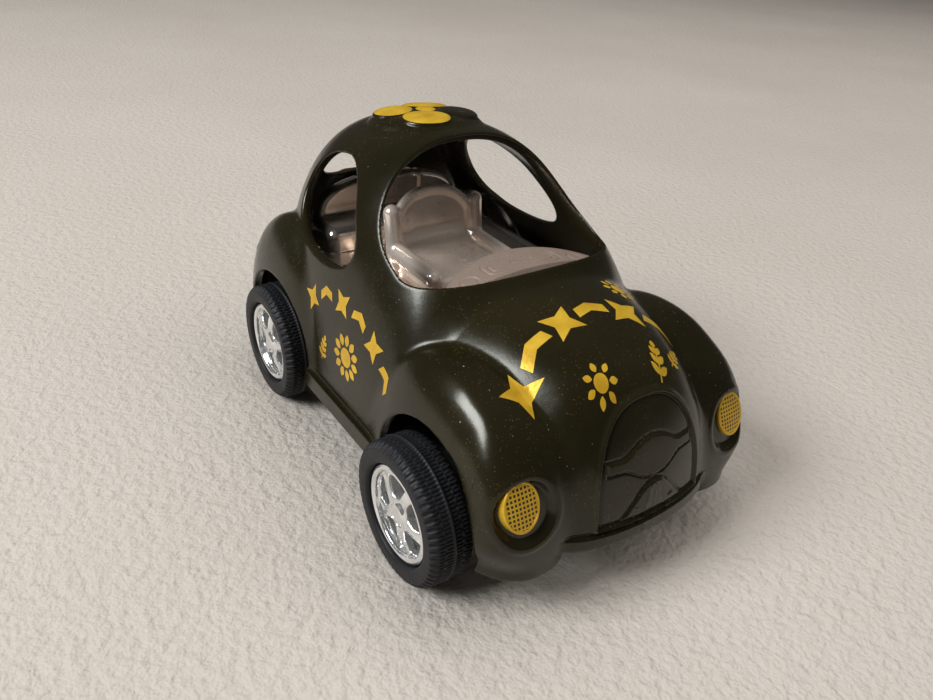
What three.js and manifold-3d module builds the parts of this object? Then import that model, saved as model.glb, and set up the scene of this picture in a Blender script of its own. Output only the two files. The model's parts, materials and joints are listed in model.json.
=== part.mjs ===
// Pull-back toy car: a one-piece hollow body shell over a plated interior, a chassis,
// four rubber-tyred wheels on steel axles and a spring motor geared to the rear axle.
// Units are millimetres. +Z is up, the nose points along -Y and the front axle is at y = 0
// while the pieces are made; at the end the car is moved so that its footprint is centred.

import * as THREE from "three";
import { mergeVertices } from "three/addons/utils/BufferGeometryUtils.js";
import Module from "manifold-3d";

const wasm = await Module();
wasm.setup();

// ---------------------------------------------------------------- driving dimensions

// Overall sizes, which most of the others follow
const wheelbase = 45.7;
const bodyHalfWidth = 22.2;
const roofTopZ = 46.9;

// Wheels and axles
const tyreRadius = 9.7;
const tyreWidth = 6;
const tyreRidge = 0.12; // moulding ridge round the middle of the tread
const rimRadius = 6.5;
const rimWidth = 5;
const frontWheelX = bodyHalfWidth + 2.1; // middle of the tyre, from the car's centre line
const rearWheelX = bodyHalfWidth + 0.1;
const axleRadius = 0.9;
const hubRadius = 1.9;
const tyreFit = 0.3; // rim to tyre
const pressFit = 0.05; // axle to rim hub, axle to axle gear

// Body shell
const noseY = -17.4;
const tailY = wheelbase + 17.3;
const wall = 1.5;
const widestY = wheelbase - 19.7;
const noseHalfWidth = bodyHalfWidth - 9.1;
const noseLength = 4.5;
const noseLean = 0.12; // the nose falls back this much for each millimetre up
const noseLeanEndY = -8;
const flareStartY = -18.3;
const flareEndY = 13;
const bodyFloorZ = 9;
const bonnetTopZ = 32.6;
const bonnetEndY = 11;
const roofStartY = 3.5; // where the roof's curve leaves the bonnet, under the screen
const roofTopY = wheelbase - 12.7;
const roofFrontLength = roofTopY - roofStartY;
const roofRearLength = tailY + 0.5 - roofTopY;
const roofSpringZ = 16.2;
const cowlBlend = 3;
const lipHeight = 2.2;
const lipDepth = 0.45;
const lipHalfWidth = 12.8;

// Fenders: the bulge over each wheel, as an egg round the axle that swells along X
const fenderOuterX = bodyHalfWidth + 1.8;
const fenderInnerX = 6;
const fenderCrownX = bodyHalfWidth - 5.3;
const fenderBottomZ = 6.6;
const fenderCentreZ = tyreRadius;
const frontFender = { y: 1.5, front: 16.6, rear: 17.5, height: 18.4, archY: 0.3 };
const rearFender = { y: wheelbase + 0.5, front: 16.5, rear: 17.5, height: 20.5, archY: wheelbase + 0.5 };
const archRadius = tyreRadius + 1.2;
const archCentreZ = tyreRadius + 0.8;
const archInnerX = bodyHalfWidth - 8.2;

// Running boards
const sillOuterX = bodyHalfWidth + 0.4;
const sillBottomZ = 7.1;
const sillTopZ = 10.2;

// Windows
const screenBase = { y: 7.8, z: bonnetTopZ + 0.5 };
const screenRake = Math.atan2(0.61, 0.793);
const screenHalfWidth = bodyHalfWidth - 4.8;
const screenWaist = 8; // height up the slope where the screen is widest
const screenLow = 1.4; // height up the slope of its lower edge
const screenLength = 24.2;
const sideWindow = { y: roofTopY + 2.8, z: roofTopZ - 11.3, halfLength: 15, halfHeight: 6.1, post: 5.4 };
const sideWindowPostLean = 0.84;
const sideWindowCorner = 4; // the higher, the sharper the corners at the post
const sideWindowInnerX = 8; // the window is cut from here outwards
const rearWindow = { z: roofTopZ - 11.4, halfWidth: 9, halfHeight: 4.2, depth: 14 };

// Ornament and lamps
const medallion = { y: roofTopY + 5.9, z: roofTopZ - 1.1, radius: 8.9, height: 1.7, tilt: -0.086 };
const petal = { count: 4, halfLength: 2.9, halfWidth: 3.4, halfHeight: 0.8, out: 4.9, turn: Math.PI / 3 };
const lampPitch = 0.41; // how far the lamps look up
const lampSocket = { x: bodyHalfWidth - 4.8, y: -13.9, z: 16.7, halfWidth: 4.5, halfHeight: 5.8, depth: 1 };
const lampLens = { out: 0.8, up: 0.8, halfWidth: 2.5, halfHeight: 3, thickness: 0.7, rise: 0.9 };
const tailLamp = { x: bodyHalfWidth - 4.6, y: tailY - 1.1, z: 18, halfWidth: 2.3, halfHeight: 3.2 };
const panelHalfWidth = 9.2;
const panelBottomZ = 11.2;
const panelHeight = 15.4;
const panelRelief = 0.4;

// Chassis, motor and fasteners
const chassisBottomZ = 6.2;
const chassisThickness = 1.5;
const bearingX = 12.5;
const bearingWidth = 3;
const bearingRadius = 2.4;
const running = 0.08; // radial clearance of a turning shaft
const seat = 0.3; // gap between two pieces that rest on each other
const frontPostY = -9;
const rearPostY = tailY - 4.8;
const rearPostTopZ = 28;
const postRadius = 2.4;
const postWeb = 1.6;
const screwRadius = 0.75;
const screwHeadRadius = 1.9;
const screwHeadHeight = 0.8;
const screwLength = 8;
const screwSink = 0.1;

const gearModule = 0.55;
const gearAddendum = 0.44;
const gearDedendum = 0.58;
const gearPressureAngle = THREE.MathUtils.degToRad(28);
const axleGearTeeth = 10;
const idlerWheelTeeth = 18;
const idlerPinionTeeth = 8;
const springGearTeeth = 24;
const gearWidth = 1.8;
const gearSpacing = 0.08; // opens each gear centre distance a little
const gearBacklash = 0.12; // taken off each tooth along the pitch circle
const idlerRise = 3.4; // idler axis above the axle
const springRise = 5; // spring axis above the axle
const gearRoom = 0.33; // spring gear's teeth to the case
const gearHub = { radius: 2, length: 1.2 };
const idlerNeckRadius = 1.5;
const pinRadius = 0.75;
const arborRadius = 1.7;
const arborLength = 9.6;
const caseHalfWidth = 9.2;
const caseWall = 1;
const caseChamfer = 2.2;
const caseShoulder = 6.1; // corner over the idler, from its axis
const caseEar = { out: 1.8, front: 3, length: 12, thickness: 1.2 }; // ledge over the chassis
const coverPlate = 1;
const coverRing = { depth: 1.2, wall: 0.8 };
const coverPlay = 0.7; // locating ring to the spring gear
const gearStep = 0.4; // between the two planes of gears
const windPlaneX = caseHalfWidth - coverPlate - coverRing.depth - coverPlay - gearWidth;
const drivePlaneX = windPlaneX - gearStep - gearWidth;
const springTurns = 4;
const springOuterRadius = 6;
const springThickness = 0.3;
const springWidth = 6;
const springInset = 8.7; // spring's near edge, behind the spring gear

// Interior
const tubHalfWidth = bodyHalfWidth - 3.9;
const tubClearance = 0.45;
const tubWall = 1.2;
const tubTopZ = 26.6;
const tubFrontY = 9.6;
const footwellZ = 15;
const tubDeckGap = 0.5; // tub deck above the motor
const axleNotchRadius = 4; // clears the rear axle under the tub's sides
const seatHalfWidth = 7.6;
const benchHalfWidth = 14.5;
const seatBackY = wheelbase - 10.7;
const seatTopZ = roofTopZ - 9.9;
const dashHalfWidth = 14;
const dashRearY = 17;
const dashTopZ = 33.6;
const dashCrownRadius = 42;

const axleZ = tyreRadius;
const chassisTopZ = chassisBottomZ + chassisThickness;

// Places of the gears, and of the case and the tub round them
const pitchRadius = (teeth) => (gearModule * teeth) / 2;
const driveDistance = pitchRadius(axleGearTeeth) + pitchRadius(idlerWheelTeeth) + gearSpacing;
const windDistance = pitchRadius(idlerPinionTeeth) + pitchRadius(springGearTeeth) + gearSpacing;
const idlerZ = axleZ + idlerRise;
const idlerY = wheelbase - Math.sqrt(driveDistance ** 2 - idlerRise ** 2);
const springZ = axleZ + springRise;
const springY = idlerY - Math.sqrt(windDistance ** 2 - (springZ - idlerZ) ** 2);
const driveAngle = Math.atan2(idlerZ - axleZ, idlerY - wheelbase); // from the axle to the idler
const windAngle = Math.atan2(springZ - idlerZ, springY - idlerY); // from the idler to the spring gear
const springGearReach = pitchRadius(springGearTeeth) + gearAddendum + gearRoom + caseWall;
const caseFrontY = springY - springGearReach;
const caseRearY = wheelbase + 4.5;
const caseBottomZ = springZ - springGearReach;
const caseTopZ = springZ + springGearReach;
const tubRearY = caseRearY + 2 * tubWall;
const tubDeckZ = caseTopZ + tubDeckGap + tubWall;

const ROUND = 22; // facets of a tyre
const SMALL = 14; // facets of a small round piece

// ---------------------------------------------------------------- materials

const paint = finish(0x3a3526, 0.25, 0.6);
const chrome = finish(0xd8d4d0, 0.15, 1);
const rubber = finish(0x26262a, 0.85, 0);
const steel = finish(0xa9adb2, 0.35, 1);
const black = finish(0x1b1b1d, 0.55, 0);
const nylon = finish(0xe9e4d4, 0.6, 0);
const springSteel = finish(0x5b6068, 0.3, 1);

function finish(color, roughness, metalness) {
  return new THREE.MeshStandardMaterial({ color, roughness, metalness });
}

// ---------------------------------------------------------------- solid helpers

// Closed geometry to manifold solid
function solid(geometry) {
  const g = geometry.clone();
  g.deleteAttribute("normal");
  g.deleteAttribute("uv");
  const merged = mergeVertices(g, 1e-5);
  const mesh = new wasm.Mesh({
    numProp: 3,
    vertProperties: Float32Array.from(merged.attributes.position.array),
    triVerts: Uint32Array.from(merged.index.array),
  });
  return new wasm.Manifold(mesh);
}

// Manifold solid to named mesh
function piece(name, body, material) {
  const { numProp, vertProperties, triVerts } = body.getMesh();
  const g = new THREE.BufferGeometry();
  const xyz = new Float32Array((vertProperties.length / numProp) * 3);
  for (let i = 0; i < xyz.length / 3; i++) {
    for (let k = 0; k < 3; k++) xyz[3 * i + k] = vertProperties[numProp * i + k];
  }
  g.setAttribute("position", new THREE.BufferAttribute(xyz, 3));
  g.setIndex(new THREE.BufferAttribute(Uint32Array.from(triVerts), 1));
  g.computeVertexNormals();
  const mesh = new THREE.Mesh(g, material);
  mesh.name = name;
  return mesh;
}

// Closed skin through rings of equal point count, flat at both ends
function loft(rings) {
  const count = rings[0].length;
  const points = rings.flat();
  const index = [];
  for (let r = 0; r + 1 < rings.length; r++) {
    for (let i = 0; i < count; i++) {
      const a = r * count + i;
      const b = r * count + ((i + 1) % count);
      index.push(a, b, b + count, a, b + count, a + count);
    }
  }
  for (const r of [0, rings.length - 1]) {
    const centre = new THREE.Vector3();
    for (const p of rings[r]) centre.addScaledVector(p, 1 / count);
    const c = points.push(centre) - 1;
    for (let i = 0; i < count; i++) {
      const a = r * count + i;
      const b = r * count + ((i + 1) % count);
      if (r === 0) index.push(a, c, b);
      else index.push(a, b, c);
    }
  }
  const g = new THREE.BufferGeometry().setFromPoints(points);
  g.setIndex(signedVolume(points, index) < 0 ? index.reverse() : index);
  return solid(g);
}

function signedVolume(points, index) {
  let v = 0;
  for (let i = 0; i < index.length; i += 3) {
    const [a, b, c] = [points[index[i]], points[index[i + 1]], points[index[i + 2]]];
    v += a.dot(b.clone().cross(c)) / 6;
  }
  return v;
}

function box(x0, x1, y0, y1, z0, z1) {
  const g = new THREE.BoxGeometry(x1 - x0, y1 - y0, z1 - z0);
  g.translate((x0 + x1) / 2, (y0 + y1) / 2, (z0 + z1) / 2);
  return solid(g);
}

// Round bar along X, or along Z when upright
function bar(radius, x0, x1, y, z, sides = SMALL) {
  const g = new THREE.CylinderGeometry(radius, radius, x1 - x0, sides);
  g.rotateZ(Math.PI / 2);
  g.translate((x0 + x1) / 2, y, z);
  return solid(g);
}

function upright(radius, z0, z1, x, y, sides = SMALL) {
  const g = new THREE.CylinderGeometry(radius, radius, z1 - z0, sides);
  g.rotateX(Math.PI / 2);
  g.translate(x, y, (z0 + z1) / 2);
  return solid(g);
}

// Outline pushed along a direction. The outline's x and y follow the two axes given.
function prism(points, axisX, axisY, origin, from, to) {
  const shape = new THREE.Shape(points);
  const g = new THREE.ExtrudeGeometry(shape, { depth: to - from, bevelEnabled: false });
  const axisZ = axisX.clone().cross(axisY);
  g.translate(0, 0, from);
  g.applyMatrix4(new THREE.Matrix4().makeBasis(axisX, axisY, axisZ));
  g.translate(origin.x, origin.y, origin.z);
  return solid(g);
}

// Profile of [radius, x] pairs turned about the X axis; it closes on itself
function turned(profile, sides) {
  const points = [...profile, profile[0]].map(([r, x]) => new THREE.Vector2(r, x));
  const g = new THREE.LatheGeometry(points, sides);
  g.rotateZ(-Math.PI / 2);
  return orient(g);
}

function orient(geometry) {
  const g = geometry.index ? geometry : mergeVertices(geometry);
  const p = g.attributes.position;
  const points = Array.from({ length: p.count }, (_, i) => {
    return new THREE.Vector3().fromBufferAttribute(p, i);
  });
  const index = Array.from(g.index.array);
  if (signedVolume(points, index) < 0) g.setIndex(index.reverse());
  return solid(g);
}

function join(list) {
  return list.reduce((a, b) => a.add(b));
}

const X = new THREE.Vector3(1, 0, 0);
const Y = new THREE.Vector3(0, 1, 0);
const Z = new THREE.Vector3(0, 0, 1);

// ---------------------------------------------------------------- body form

// One quadrant of a superellipse: 1 at t = 0, 0 at t = 1
function arc(t, n) {
  return Math.pow(Math.max(1 - Math.pow(THREE.MathUtils.clamp(t, 0, 1), n), 0), 1 / n);
}

function signedPower(value, n) {
  return Math.sign(value) * Math.pow(Math.abs(value), n);
}

function smoothMax(a, b, k) {
  const h = THREE.MathUtils.clamp(0.5 + (0.5 * (a - b)) / k, 0, 1);
  return b + (a - b) * h + k * h * (1 - h);
}

// Half-width of the body in plan, on a skin that lies inset inside the outer one
function bodyWidth(y, inset) {
  const flare = THREE.MathUtils.smoothstep(y, flareStartY, flareEndY);
  const width = THREE.MathUtils.lerp(noseHalfWidth, bodyHalfWidth, flare) - inset;
  const nose = arc((noseY + inset + noseLength - y) / noseLength, 2.2);
  const tail = arc((y - widestY) / (tailY - inset - widestY), 2.6);
  return width * nose * tail;
}

// Height of the body along its centre line
function bodyTop(y, inset) {
  const rise = bonnetTopZ - inset - bodyFloorZ;
  const bonnet = bodyFloorZ + rise * arc((bonnetEndY - y) / (bonnetEndY - noseY - inset), 2.9);
  const ahead = y < roofTopY;
  const t = ahead
    ? (roofTopY - y) / (roofFrontLength - inset)
    : (y - roofTopY) / (roofRearLength - inset);
  const roof = roofSpringZ + (roofTopZ - inset - roofSpringZ) * arc(t, ahead ? 2 : 2.6);
  return smoothMax(bonnet, roof, cowlBlend);
}

// How far the leaning nose carries a point of the section at y back
function noseSetback(y, z) {
  const lean = 1 - THREE.MathUtils.smoothstep(y, noseY, noseLeanEndY);
  return noseLean * Math.max(z - bodyFloorZ, 0) * lean;
}

// Cross-section at y: a superellipse over the floor, carried down by skirt
function bodySection(y, inset, skirt, steps) {
  const width = Math.max(bodyWidth(y, inset), 0.05);
  const height = Math.max(bodyTop(y, inset) - bodyFloorZ, 0.05);
  const ring = [];
  for (let i = 0; i <= steps; i++) {
    const a = (Math.PI * i) / steps;
    const x = width * signedPower(Math.cos(a), 0.8);
    const z = bodyFloorZ + height * Math.pow(Math.sin(a), 0.8);
    ring.push(new THREE.Vector3(x, y + noseSetback(y, z), z));
  }
  ring.push(new THREE.Vector3(-width, y, bodyFloorZ - skirt));
  ring.push(new THREE.Vector3(width, y, bodyFloorZ - skirt));
  return ring;
}

function bodyForm(inset, skirt, stations, steps) {
  const start = noseY + inset;
  const length = tailY - inset - start;
  const rings = [];
  for (let i = 0; i <= stations; i++) {
    const t = 0.012 + (0.976 * i) / stations;
    rings.push(bodySection(start + (length * (1 - Math.cos(Math.PI * t))) / 2, inset, skirt, steps));
  }
  return loft(rings);
}

// Fender: rings round the wheel that grow to the crown and shrink to the outer lip
function fenderForm(side, form, inset, bottom, stations, steps) {
  const rings = [];
  for (let i = 0; i <= stations; i++) {
    const s = -1 + 0.02 + (1.96 * i) / stations;
    const t = Math.sin((s * Math.PI) / 2);
    const reach = t < 0 ? fenderCrownX - fenderInnerX : fenderOuterX - fenderCrownX;
    const x = fenderCrownX + t * (reach - inset);
    const swell = arc(Math.abs(t), 2.3);
    const ring = [];
    for (let k = 0; k < steps; k++) {
      const a = (2 * Math.PI * k) / steps;
      const length = (Math.cos(a) < 0 ? form.front : form.rear) - inset;
      const dy = length * signedPower(Math.cos(a), 0.95);
      const dz = (form.height - inset) * signedPower(Math.sin(a), 0.95);
      const z = Math.max(fenderCentreZ + dz * swell, bottom);
      ring.push(new THREE.Vector3(side * x, form.y + dy * swell, z));
    }
    rings.push(ring);
  }
  return loft(rings);
}

const outerFender = (side, form) => fenderForm(side, form, 0, fenderBottomZ, 8, 16);
const innerFender = (side, form) => fenderForm(side, form, wall, 0, 5, 12);

function eachFender(make) {
  return [-1, 1].flatMap((side) => [frontFender, rearFender].map((form) => make(side, form)));
}

function sills() {
  const profile = [
    [bodyHalfWidth - 3, sillBottomZ],
    [sillOuterX - 0.4, sillBottomZ],
    [sillOuterX, sillBottomZ + 0.4],
    [sillOuterX, sillTopZ - 0.7],
    [sillOuterX - 0.7, sillTopZ],
    [bodyHalfWidth - 3, sillTopZ],
  ];
  return [-1, 1].map((side) => {
    const outline = profile.map(([x, z]) => new THREE.Vector2(side * x, z));
    return prism(outline, X, Z, new THREE.Vector3(), -rearFender.y, -frontFender.y);
  });
}

// ---------------------------------------------------------------- openings in the shell

function superellipse(halfX, halfY, n, steps, centre = [0, 0]) {
  return Array.from({ length: steps }, (_, i) => {
    const a = (2 * Math.PI * i) / steps;
    const [c, s] = [Math.cos(a), Math.sin(a)];
    const r = Math.pow(Math.pow(Math.abs(c) / halfX, n) + Math.pow(Math.abs(s) / halfY, n), -1 / n);
    return new THREE.Vector2(centre[0] + r * c, centre[1] + r * s);
  });
}

function screenCutter() {
  const steps = 30;
  const outline = Array.from({ length: steps }, (_, i) => {
    const a = (2 * Math.PI * i) / steps;
    const up = Math.sin(a) >= 0;
    const height = up ? screenLength - screenWaist : screenWaist - screenLow;
    const n = 2 / (up ? 2.3 : 3.4);
    return new THREE.Vector2(
      screenHalfWidth * signedPower(Math.cos(a), n),
      screenWaist + height * signedPower(Math.sin(a), n)
    );
  });
  const slope = new THREE.Vector3(0, Math.cos(screenRake), Math.sin(screenRake));
  return prism(outline, X, slope, new THREE.Vector3(0, screenBase.y, screenBase.z), -14, 16);
}

// D-shaped window: a round outline flattened by the slanted door post
function sideWindowCutter(side) {
  const w = sideWindow;
  const outline = superellipse(w.halfLength, w.halfHeight, 2, 26).map((p) => {
    const towardPost = -p.x * Math.sin(sideWindowPostLean) + p.y * Math.cos(sideWindowPostLean);
    const limit = towardPost > 0 ? w.post / towardPost : Infinity;
    const keep = Math.pow(1 + Math.pow(limit, -sideWindowCorner), -1 / sideWindowCorner);
    return p.multiplyScalar(keep);
  });
  const reach = [sideWindowInnerX, bodyHalfWidth + 4].map((x) => side * x).sort((a, b) => a - b);
  return prism(outline, Y, Z, new THREE.Vector3(0, w.y, w.z), ...reach);
}

function rearWindowCutter() {
  const outline = superellipse(rearWindow.halfWidth, rearWindow.halfHeight, 2.6, 18);
  return prism(outline, X, Z, new THREE.Vector3(0, 0, rearWindow.z), -tailY, rearWindow.depth - tailY);
}

function archCutter(side, form) {
  const depth = fenderOuterX + 4 - archInnerX;
  const x = side > 0 ? archInnerX : -archInnerX - depth;
  return bar(archRadius, x, x + depth, form.archY, archCentreZ, 28);
}

// ---------------------------------------------------------------- relief on the shell

// Where the body skin lies along Y at a given x and z, at the nose (end -1) or the tail (end 1)
function skinY(x, z, end) {
  let [inside, outside] = end < 0 ? [flareEndY, noseY] : [widestY, tailY];
  for (let i = 0; i < 24; i++) {
    const y = (inside + outside) / 2;
    const across = Math.abs(x) / Math.max(bodyWidth(y, 0), 0.01);
    const up = (z - bodyFloorZ) / Math.max(bodyTop(y, 0) - bodyFloorZ, 0.01);
    if (Math.pow(across, 2.5) + Math.pow(Math.max(up, 0), 2.5) < 1) inside = y;
    else outside = y;
  }
  return inside + noseSetback(inside, z);
}

// Raised pad on the nose or tail: the outline is drawn in X and Z and follows the skin
function pad(outline, height, end, rings = 3) {
  const centre = new THREE.Vector2();
  for (const p of outline) centre.addScaledVector(p, 1 / outline.length);
  const root = outline.map((p) => new THREE.Vector3(p.x, skinY(p.x, p.y, end) - end * wall * 0.6, p.y));
  const skin = Array.from({ length: rings }, (_, i) => {
    return outline.map((p) => {
      const q = p.clone().lerp(centre, i / rings);
      return new THREE.Vector3(q.x, skinY(q.x, q.y, end) + end * height, q.y);
    });
  });
  return loft([root, ...skin]);
}

function archOutline(halfWidth, bottom, height, steps) {
  const outline = [-1, -0.5, 0, 0.5, 1].map((t) => new THREE.Vector2(t * halfWidth, bottom));
  for (let i = 1; i < steps; i++) {
    const a = (Math.PI * i) / steps;
    const x = halfWidth * signedPower(Math.cos(a), 0.75);
    outline.push(new THREE.Vector2(x, bottom + height * Math.pow(Math.sin(a), 0.8)));
  }
  return outline;
}

function noseRelief() {
  const badgeZ = panelBottomZ + 8.2;
  const panel = archOutline(panelHalfWidth, panelBottomZ, panelHeight, 14);
  const strip = superellipse(panelHalfWidth - 1.1, 0.7, 6, 20, [0, badgeZ]);
  const badge = superellipse(3.9, 2.5, 2, 16, [0, badgeZ]);
  const hump = archOutline(6.2, panelBottomZ + 0.1, 5.1, 10);
  return [
    pad(panel, panelRelief, -1, 2),
    pad(strip, 2 * panelRelief, -1, 1),
    pad(badge, 3 * panelRelief, -1, 2),
    pad(hump, 2 * panelRelief, -1, 2),
  ];
}

// Band along the lower edge of the nose and the tail
function lip(end) {
  const top = bodyFloorZ + lipHeight;
  const low = bodyFloorZ + 0.1;
  const rings = Array.from({ length: 11 }, (_, i) => {
    const x = lipHalfWidth * (-1 + i / 5);
    const corner = (z, out) => new THREE.Vector3(x, skinY(x, z, end) + end * out, z);
    const face = [corner(low, lipDepth), corner(top, lipDepth)];
    return [...face, corner(top, -wall / 2), corner(low, -wall / 2)];
  });
  return loft(rings);
}

function egg(rx, ry, rz, x, y, z, pitch = 0, detail = 14) {
  const g = new THREE.SphereGeometry(1, detail, Math.round(detail * 0.6));
  g.scale(rx, ry, rz);
  g.rotateX(pitch);
  g.translate(x, y, z);
  return solid(g);
}

function roofMedallion() {
  const m = medallion;
  const dome = [];
  for (let i = 0; i <= 3; i++) {
    const a = (Math.PI / 2) * (i / 3);
    dome.push(new THREE.Vector2(m.radius * Math.sin(a), m.height * Math.cos(a)));
  }
  dome.push(new THREE.Vector2(m.radius, -1), new THREE.Vector2(0, -1));
  const base = new THREE.LatheGeometry(dome, 18);
  base.rotateX(Math.PI / 2);
  const parts = [orient(base)];
  for (let i = 0; i < petal.count; i++) {
    const g = new THREE.SphereGeometry(1, 9, 5);
    g.rotateX(Math.PI / 2);
    g.scale(petal.halfLength, petal.halfWidth, petal.halfHeight);
    g.translate(petal.out, 0, m.height * 0.84);
    g.rotateZ(petal.turn + (2 * Math.PI * i) / petal.count);
    parts.push(solid(g));
  }
  parts.push(egg(2, 2, 0.7, 0, 0, m.height + 0.1, 0, 8));
  const body = join(parts);
  return body.rotate([THREE.MathUtils.radToDeg(m.tilt), 0, 0]).translate([0, m.y, m.z - 0.2]);
}

function lampPocket(side) {
  const s = lampSocket;
  return egg(s.halfWidth, s.depth, s.halfHeight, side * s.x, s.y, s.z, -lampPitch, 16);
}

function lampGlass(side) {
  const [s, l] = [lampSocket, lampLens];
  const [x, y, z] = [side * (s.x + l.out), s.y + l.rise, s.z + l.up];
  return egg(l.halfWidth, l.thickness, l.halfHeight, x, y, z, -lampPitch, 12);
}

function engineLid() {
  return pad(archOutline(8.6, 14, 13, 12), 0.3, 1, 2);
}

function tailLamps() {
  const l = tailLamp;
  return [-1, 1].map((side) => egg(l.halfWidth, 1.2, l.halfHeight, side * l.x, l.y, l.z, 0.3, 10));
}

// Screw posts hang from the shell and are trimmed by its skin; the rear one is webbed to the tail
function screwPosts() {
  const foot = chassisTopZ + seat;
  const front = upright(postRadius, foot, roofTopZ, 0, frontPostY);
  const rear = upright(postRadius, foot, rearPostTopZ, 0, rearPostY);
  const web = box(-postWeb / 2, postWeb / 2, rearPostY, tailY, foot + 4, rearPostTopZ);
  return join([front, rear, web]).intersect(bodyForm(wall / 2, 4, 22, 18));
}

function pilotHoles() {
  const top = chassisTopZ + screwLength;
  return join([frontPostY, rearPostY].map((y) => upright(screwRadius + seat, chassisTopZ, top, 0, y)));
}

function bodyShell() {
  const outside = join([bodyForm(0, 0, 22, 20), ...eachFender(outerFender)]);
  const inside = join([bodyForm(wall, 6, 14, 14), ...eachFender(innerFender)]);
  const mouldings = [lip(-1), lip(1), ...noseRelief(), engineLid()];
  const ornament = join([...mouldings, roofMedallion(), ...tailLamps()]);
  const sockets = join([lampPocket(-1), lampPocket(1)]);
  const lenses = join([lampGlass(-1), lampGlass(1)]);
  const windows = join([screenCutter(), sideWindowCutter(-1), sideWindowCutter(1), rearWindowCutter()]);
  return outside
    .add(ornament)
    .subtract(sockets)
    .add(lenses)
    .subtract(inside)
    .add(join(sills()))
    .subtract(windows)
    .subtract(join(eachFender(archCutter)))
    .add(screwPosts())
    .subtract(pilotHoles());
}

// ---------------------------------------------------------------- interior

// Space of the tub: the inside of the shell less a clearance, cut to the tub's own length and width
function tubSpace(shrink, y0, y1, z0, z1) {
  const half = tubHalfWidth - shrink;
  return bodyForm(wall + tubClearance + shrink, 4, 18, 14).intersect(box(-half, half, y0, y1, z0, z1));
}

function tubWalls() {
  const skirtZ = chassisTopZ + seat;
  const step = caseFrontY - tubDeckGap;
  const cabin = tubSpace(0, tubFrontY, tubRearY, skirtZ, tubTopZ);
  const firewall = tubSpace(0, tubFrontY, tubFrontY + tubWall, skirtZ, dashTopZ - 1);
  const footwell = tubSpace(tubWall, tubFrontY + tubWall, step - tubWall, footwellZ + tubWall, roofTopZ);
  const saloon = tubSpace(tubWall, step - tubWall, tubRearY - tubWall, tubDeckZ, roofTopZ);
  const below = tubSpace(tubWall, tubFrontY + tubWall, step, bodyFloorZ - 4, footwellZ);
  const motorBay = tubSpace(tubWall, step, tubRearY - tubWall, bodyFloorZ - 4, tubDeckZ - tubWall);
  const axleNotch = bar(axleNotchRadius, -tubHalfWidth - 1, tubHalfWidth + 1, wheelbase, axleZ);
  return cabin.add(firewall).subtract(join([footwell, saloon, below, motorBay, axleNotch]));
}

// Bucket seat: cushion, leaning back with an arched top, and a bolster down each side
function bucketSeat() {
  const cushion = [
    [seatBackY - 12.5, tubDeckZ - 0.5],
    [seatBackY - 13, tubDeckZ + 1.6],
    [seatBackY - 12, tubDeckZ + 3.1],
    [seatBackY - 10, tubDeckZ + 3.5],
    [seatBackY + 1, tubDeckZ + 2.9],
    [seatBackY + 1, tubDeckZ - 0.5],
  ].map(([y, z]) => new THREE.Vector2(y, z));
  const half = seatHalfWidth - 0.4;
  const base = prism(cushion, Y, Z, new THREE.Vector3(), -half, half);
  const back = archOutline(seatHalfWidth, -0.5, seatTopZ - tubDeckZ + 0.5, 14);
  const rest = prism(back, X, Z, new THREE.Vector3(), -1.4, 1.4);
  const bolsters = [-1, 1].map((side) => egg(1.3, 2, 5.6, side * (seatHalfWidth - 1.6), -1, 5.6, 0, 10));
  const leaning = join([rest, ...bolsters]).rotate([-8, 0, 0]).translate([0, seatBackY + 0.4, tubDeckZ]);
  const aboveDeck = box(-tubHalfWidth, tubHalfWidth, 0, tubRearY, tubDeckZ - 0.5, roofTopZ);
  return base.add(leaning.intersect(aboveDeck));
}

function rearBench() {
  const back = tubRearY - 0.6;
  const profile = [
    [back - 8.6, tubDeckZ - 0.5],
    [back - 8.8, tubDeckZ + 2.2],
    [back - 7.6, tubDeckZ + 3.6],
    [back - 3.4, tubDeckZ + 3.4],
    [back - 2.6, tubDeckZ + 6.6],
    [back - 1.4, tubDeckZ + 7.6],
    [back, tubDeckZ + 7.2],
    [back, tubDeckZ - 0.5],
  ].map(([y, z]) => new THREE.Vector2(y, z));
  const bench = prism(profile, Y, Z, new THREE.Vector3(), -benchHalfWidth, benchHalfWidth);
  return bench.intersect(bodyForm(wall + tubClearance, 4, 18, 14));
}

// Dashboard: D-shaped in plan, its top falling away to both sides
function dashboard() {
  const root = tubFrontY + 0.4;
  const outline = [-dashHalfWidth, dashHalfWidth].map((x) => new THREE.Vector2(x, root));
  for (let i = 1; i < 12; i++) {
    const a = (Math.PI * i) / 12;
    const y = tubFrontY + (dashRearY - tubFrontY) * Math.sin(a);
    outline.push(new THREE.Vector2(dashHalfWidth * Math.cos(a), y));
  }
  const block = prism(outline, X, Y, new THREE.Vector3(), dashTopZ - 8.5, dashTopZ + 1);
  const depth = dashRearY - tubFrontY;
  const crown = new THREE.CylinderGeometry(dashCrownRadius, dashCrownRadius, 3 * depth, 64);
  crown.translate(0, tubFrontY + depth / 2, dashTopZ - dashCrownRadius);
  const inside = bodyForm(wall + tubClearance, 4, 18, 14);
  return block.intersect(solid(crown)).intersect(inside);
}

function interiorTub() {
  return join([tubWalls(), bucketSeat(), rearBench(), dashboard()]);
}

// ---------------------------------------------------------------- chassis and screws

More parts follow.
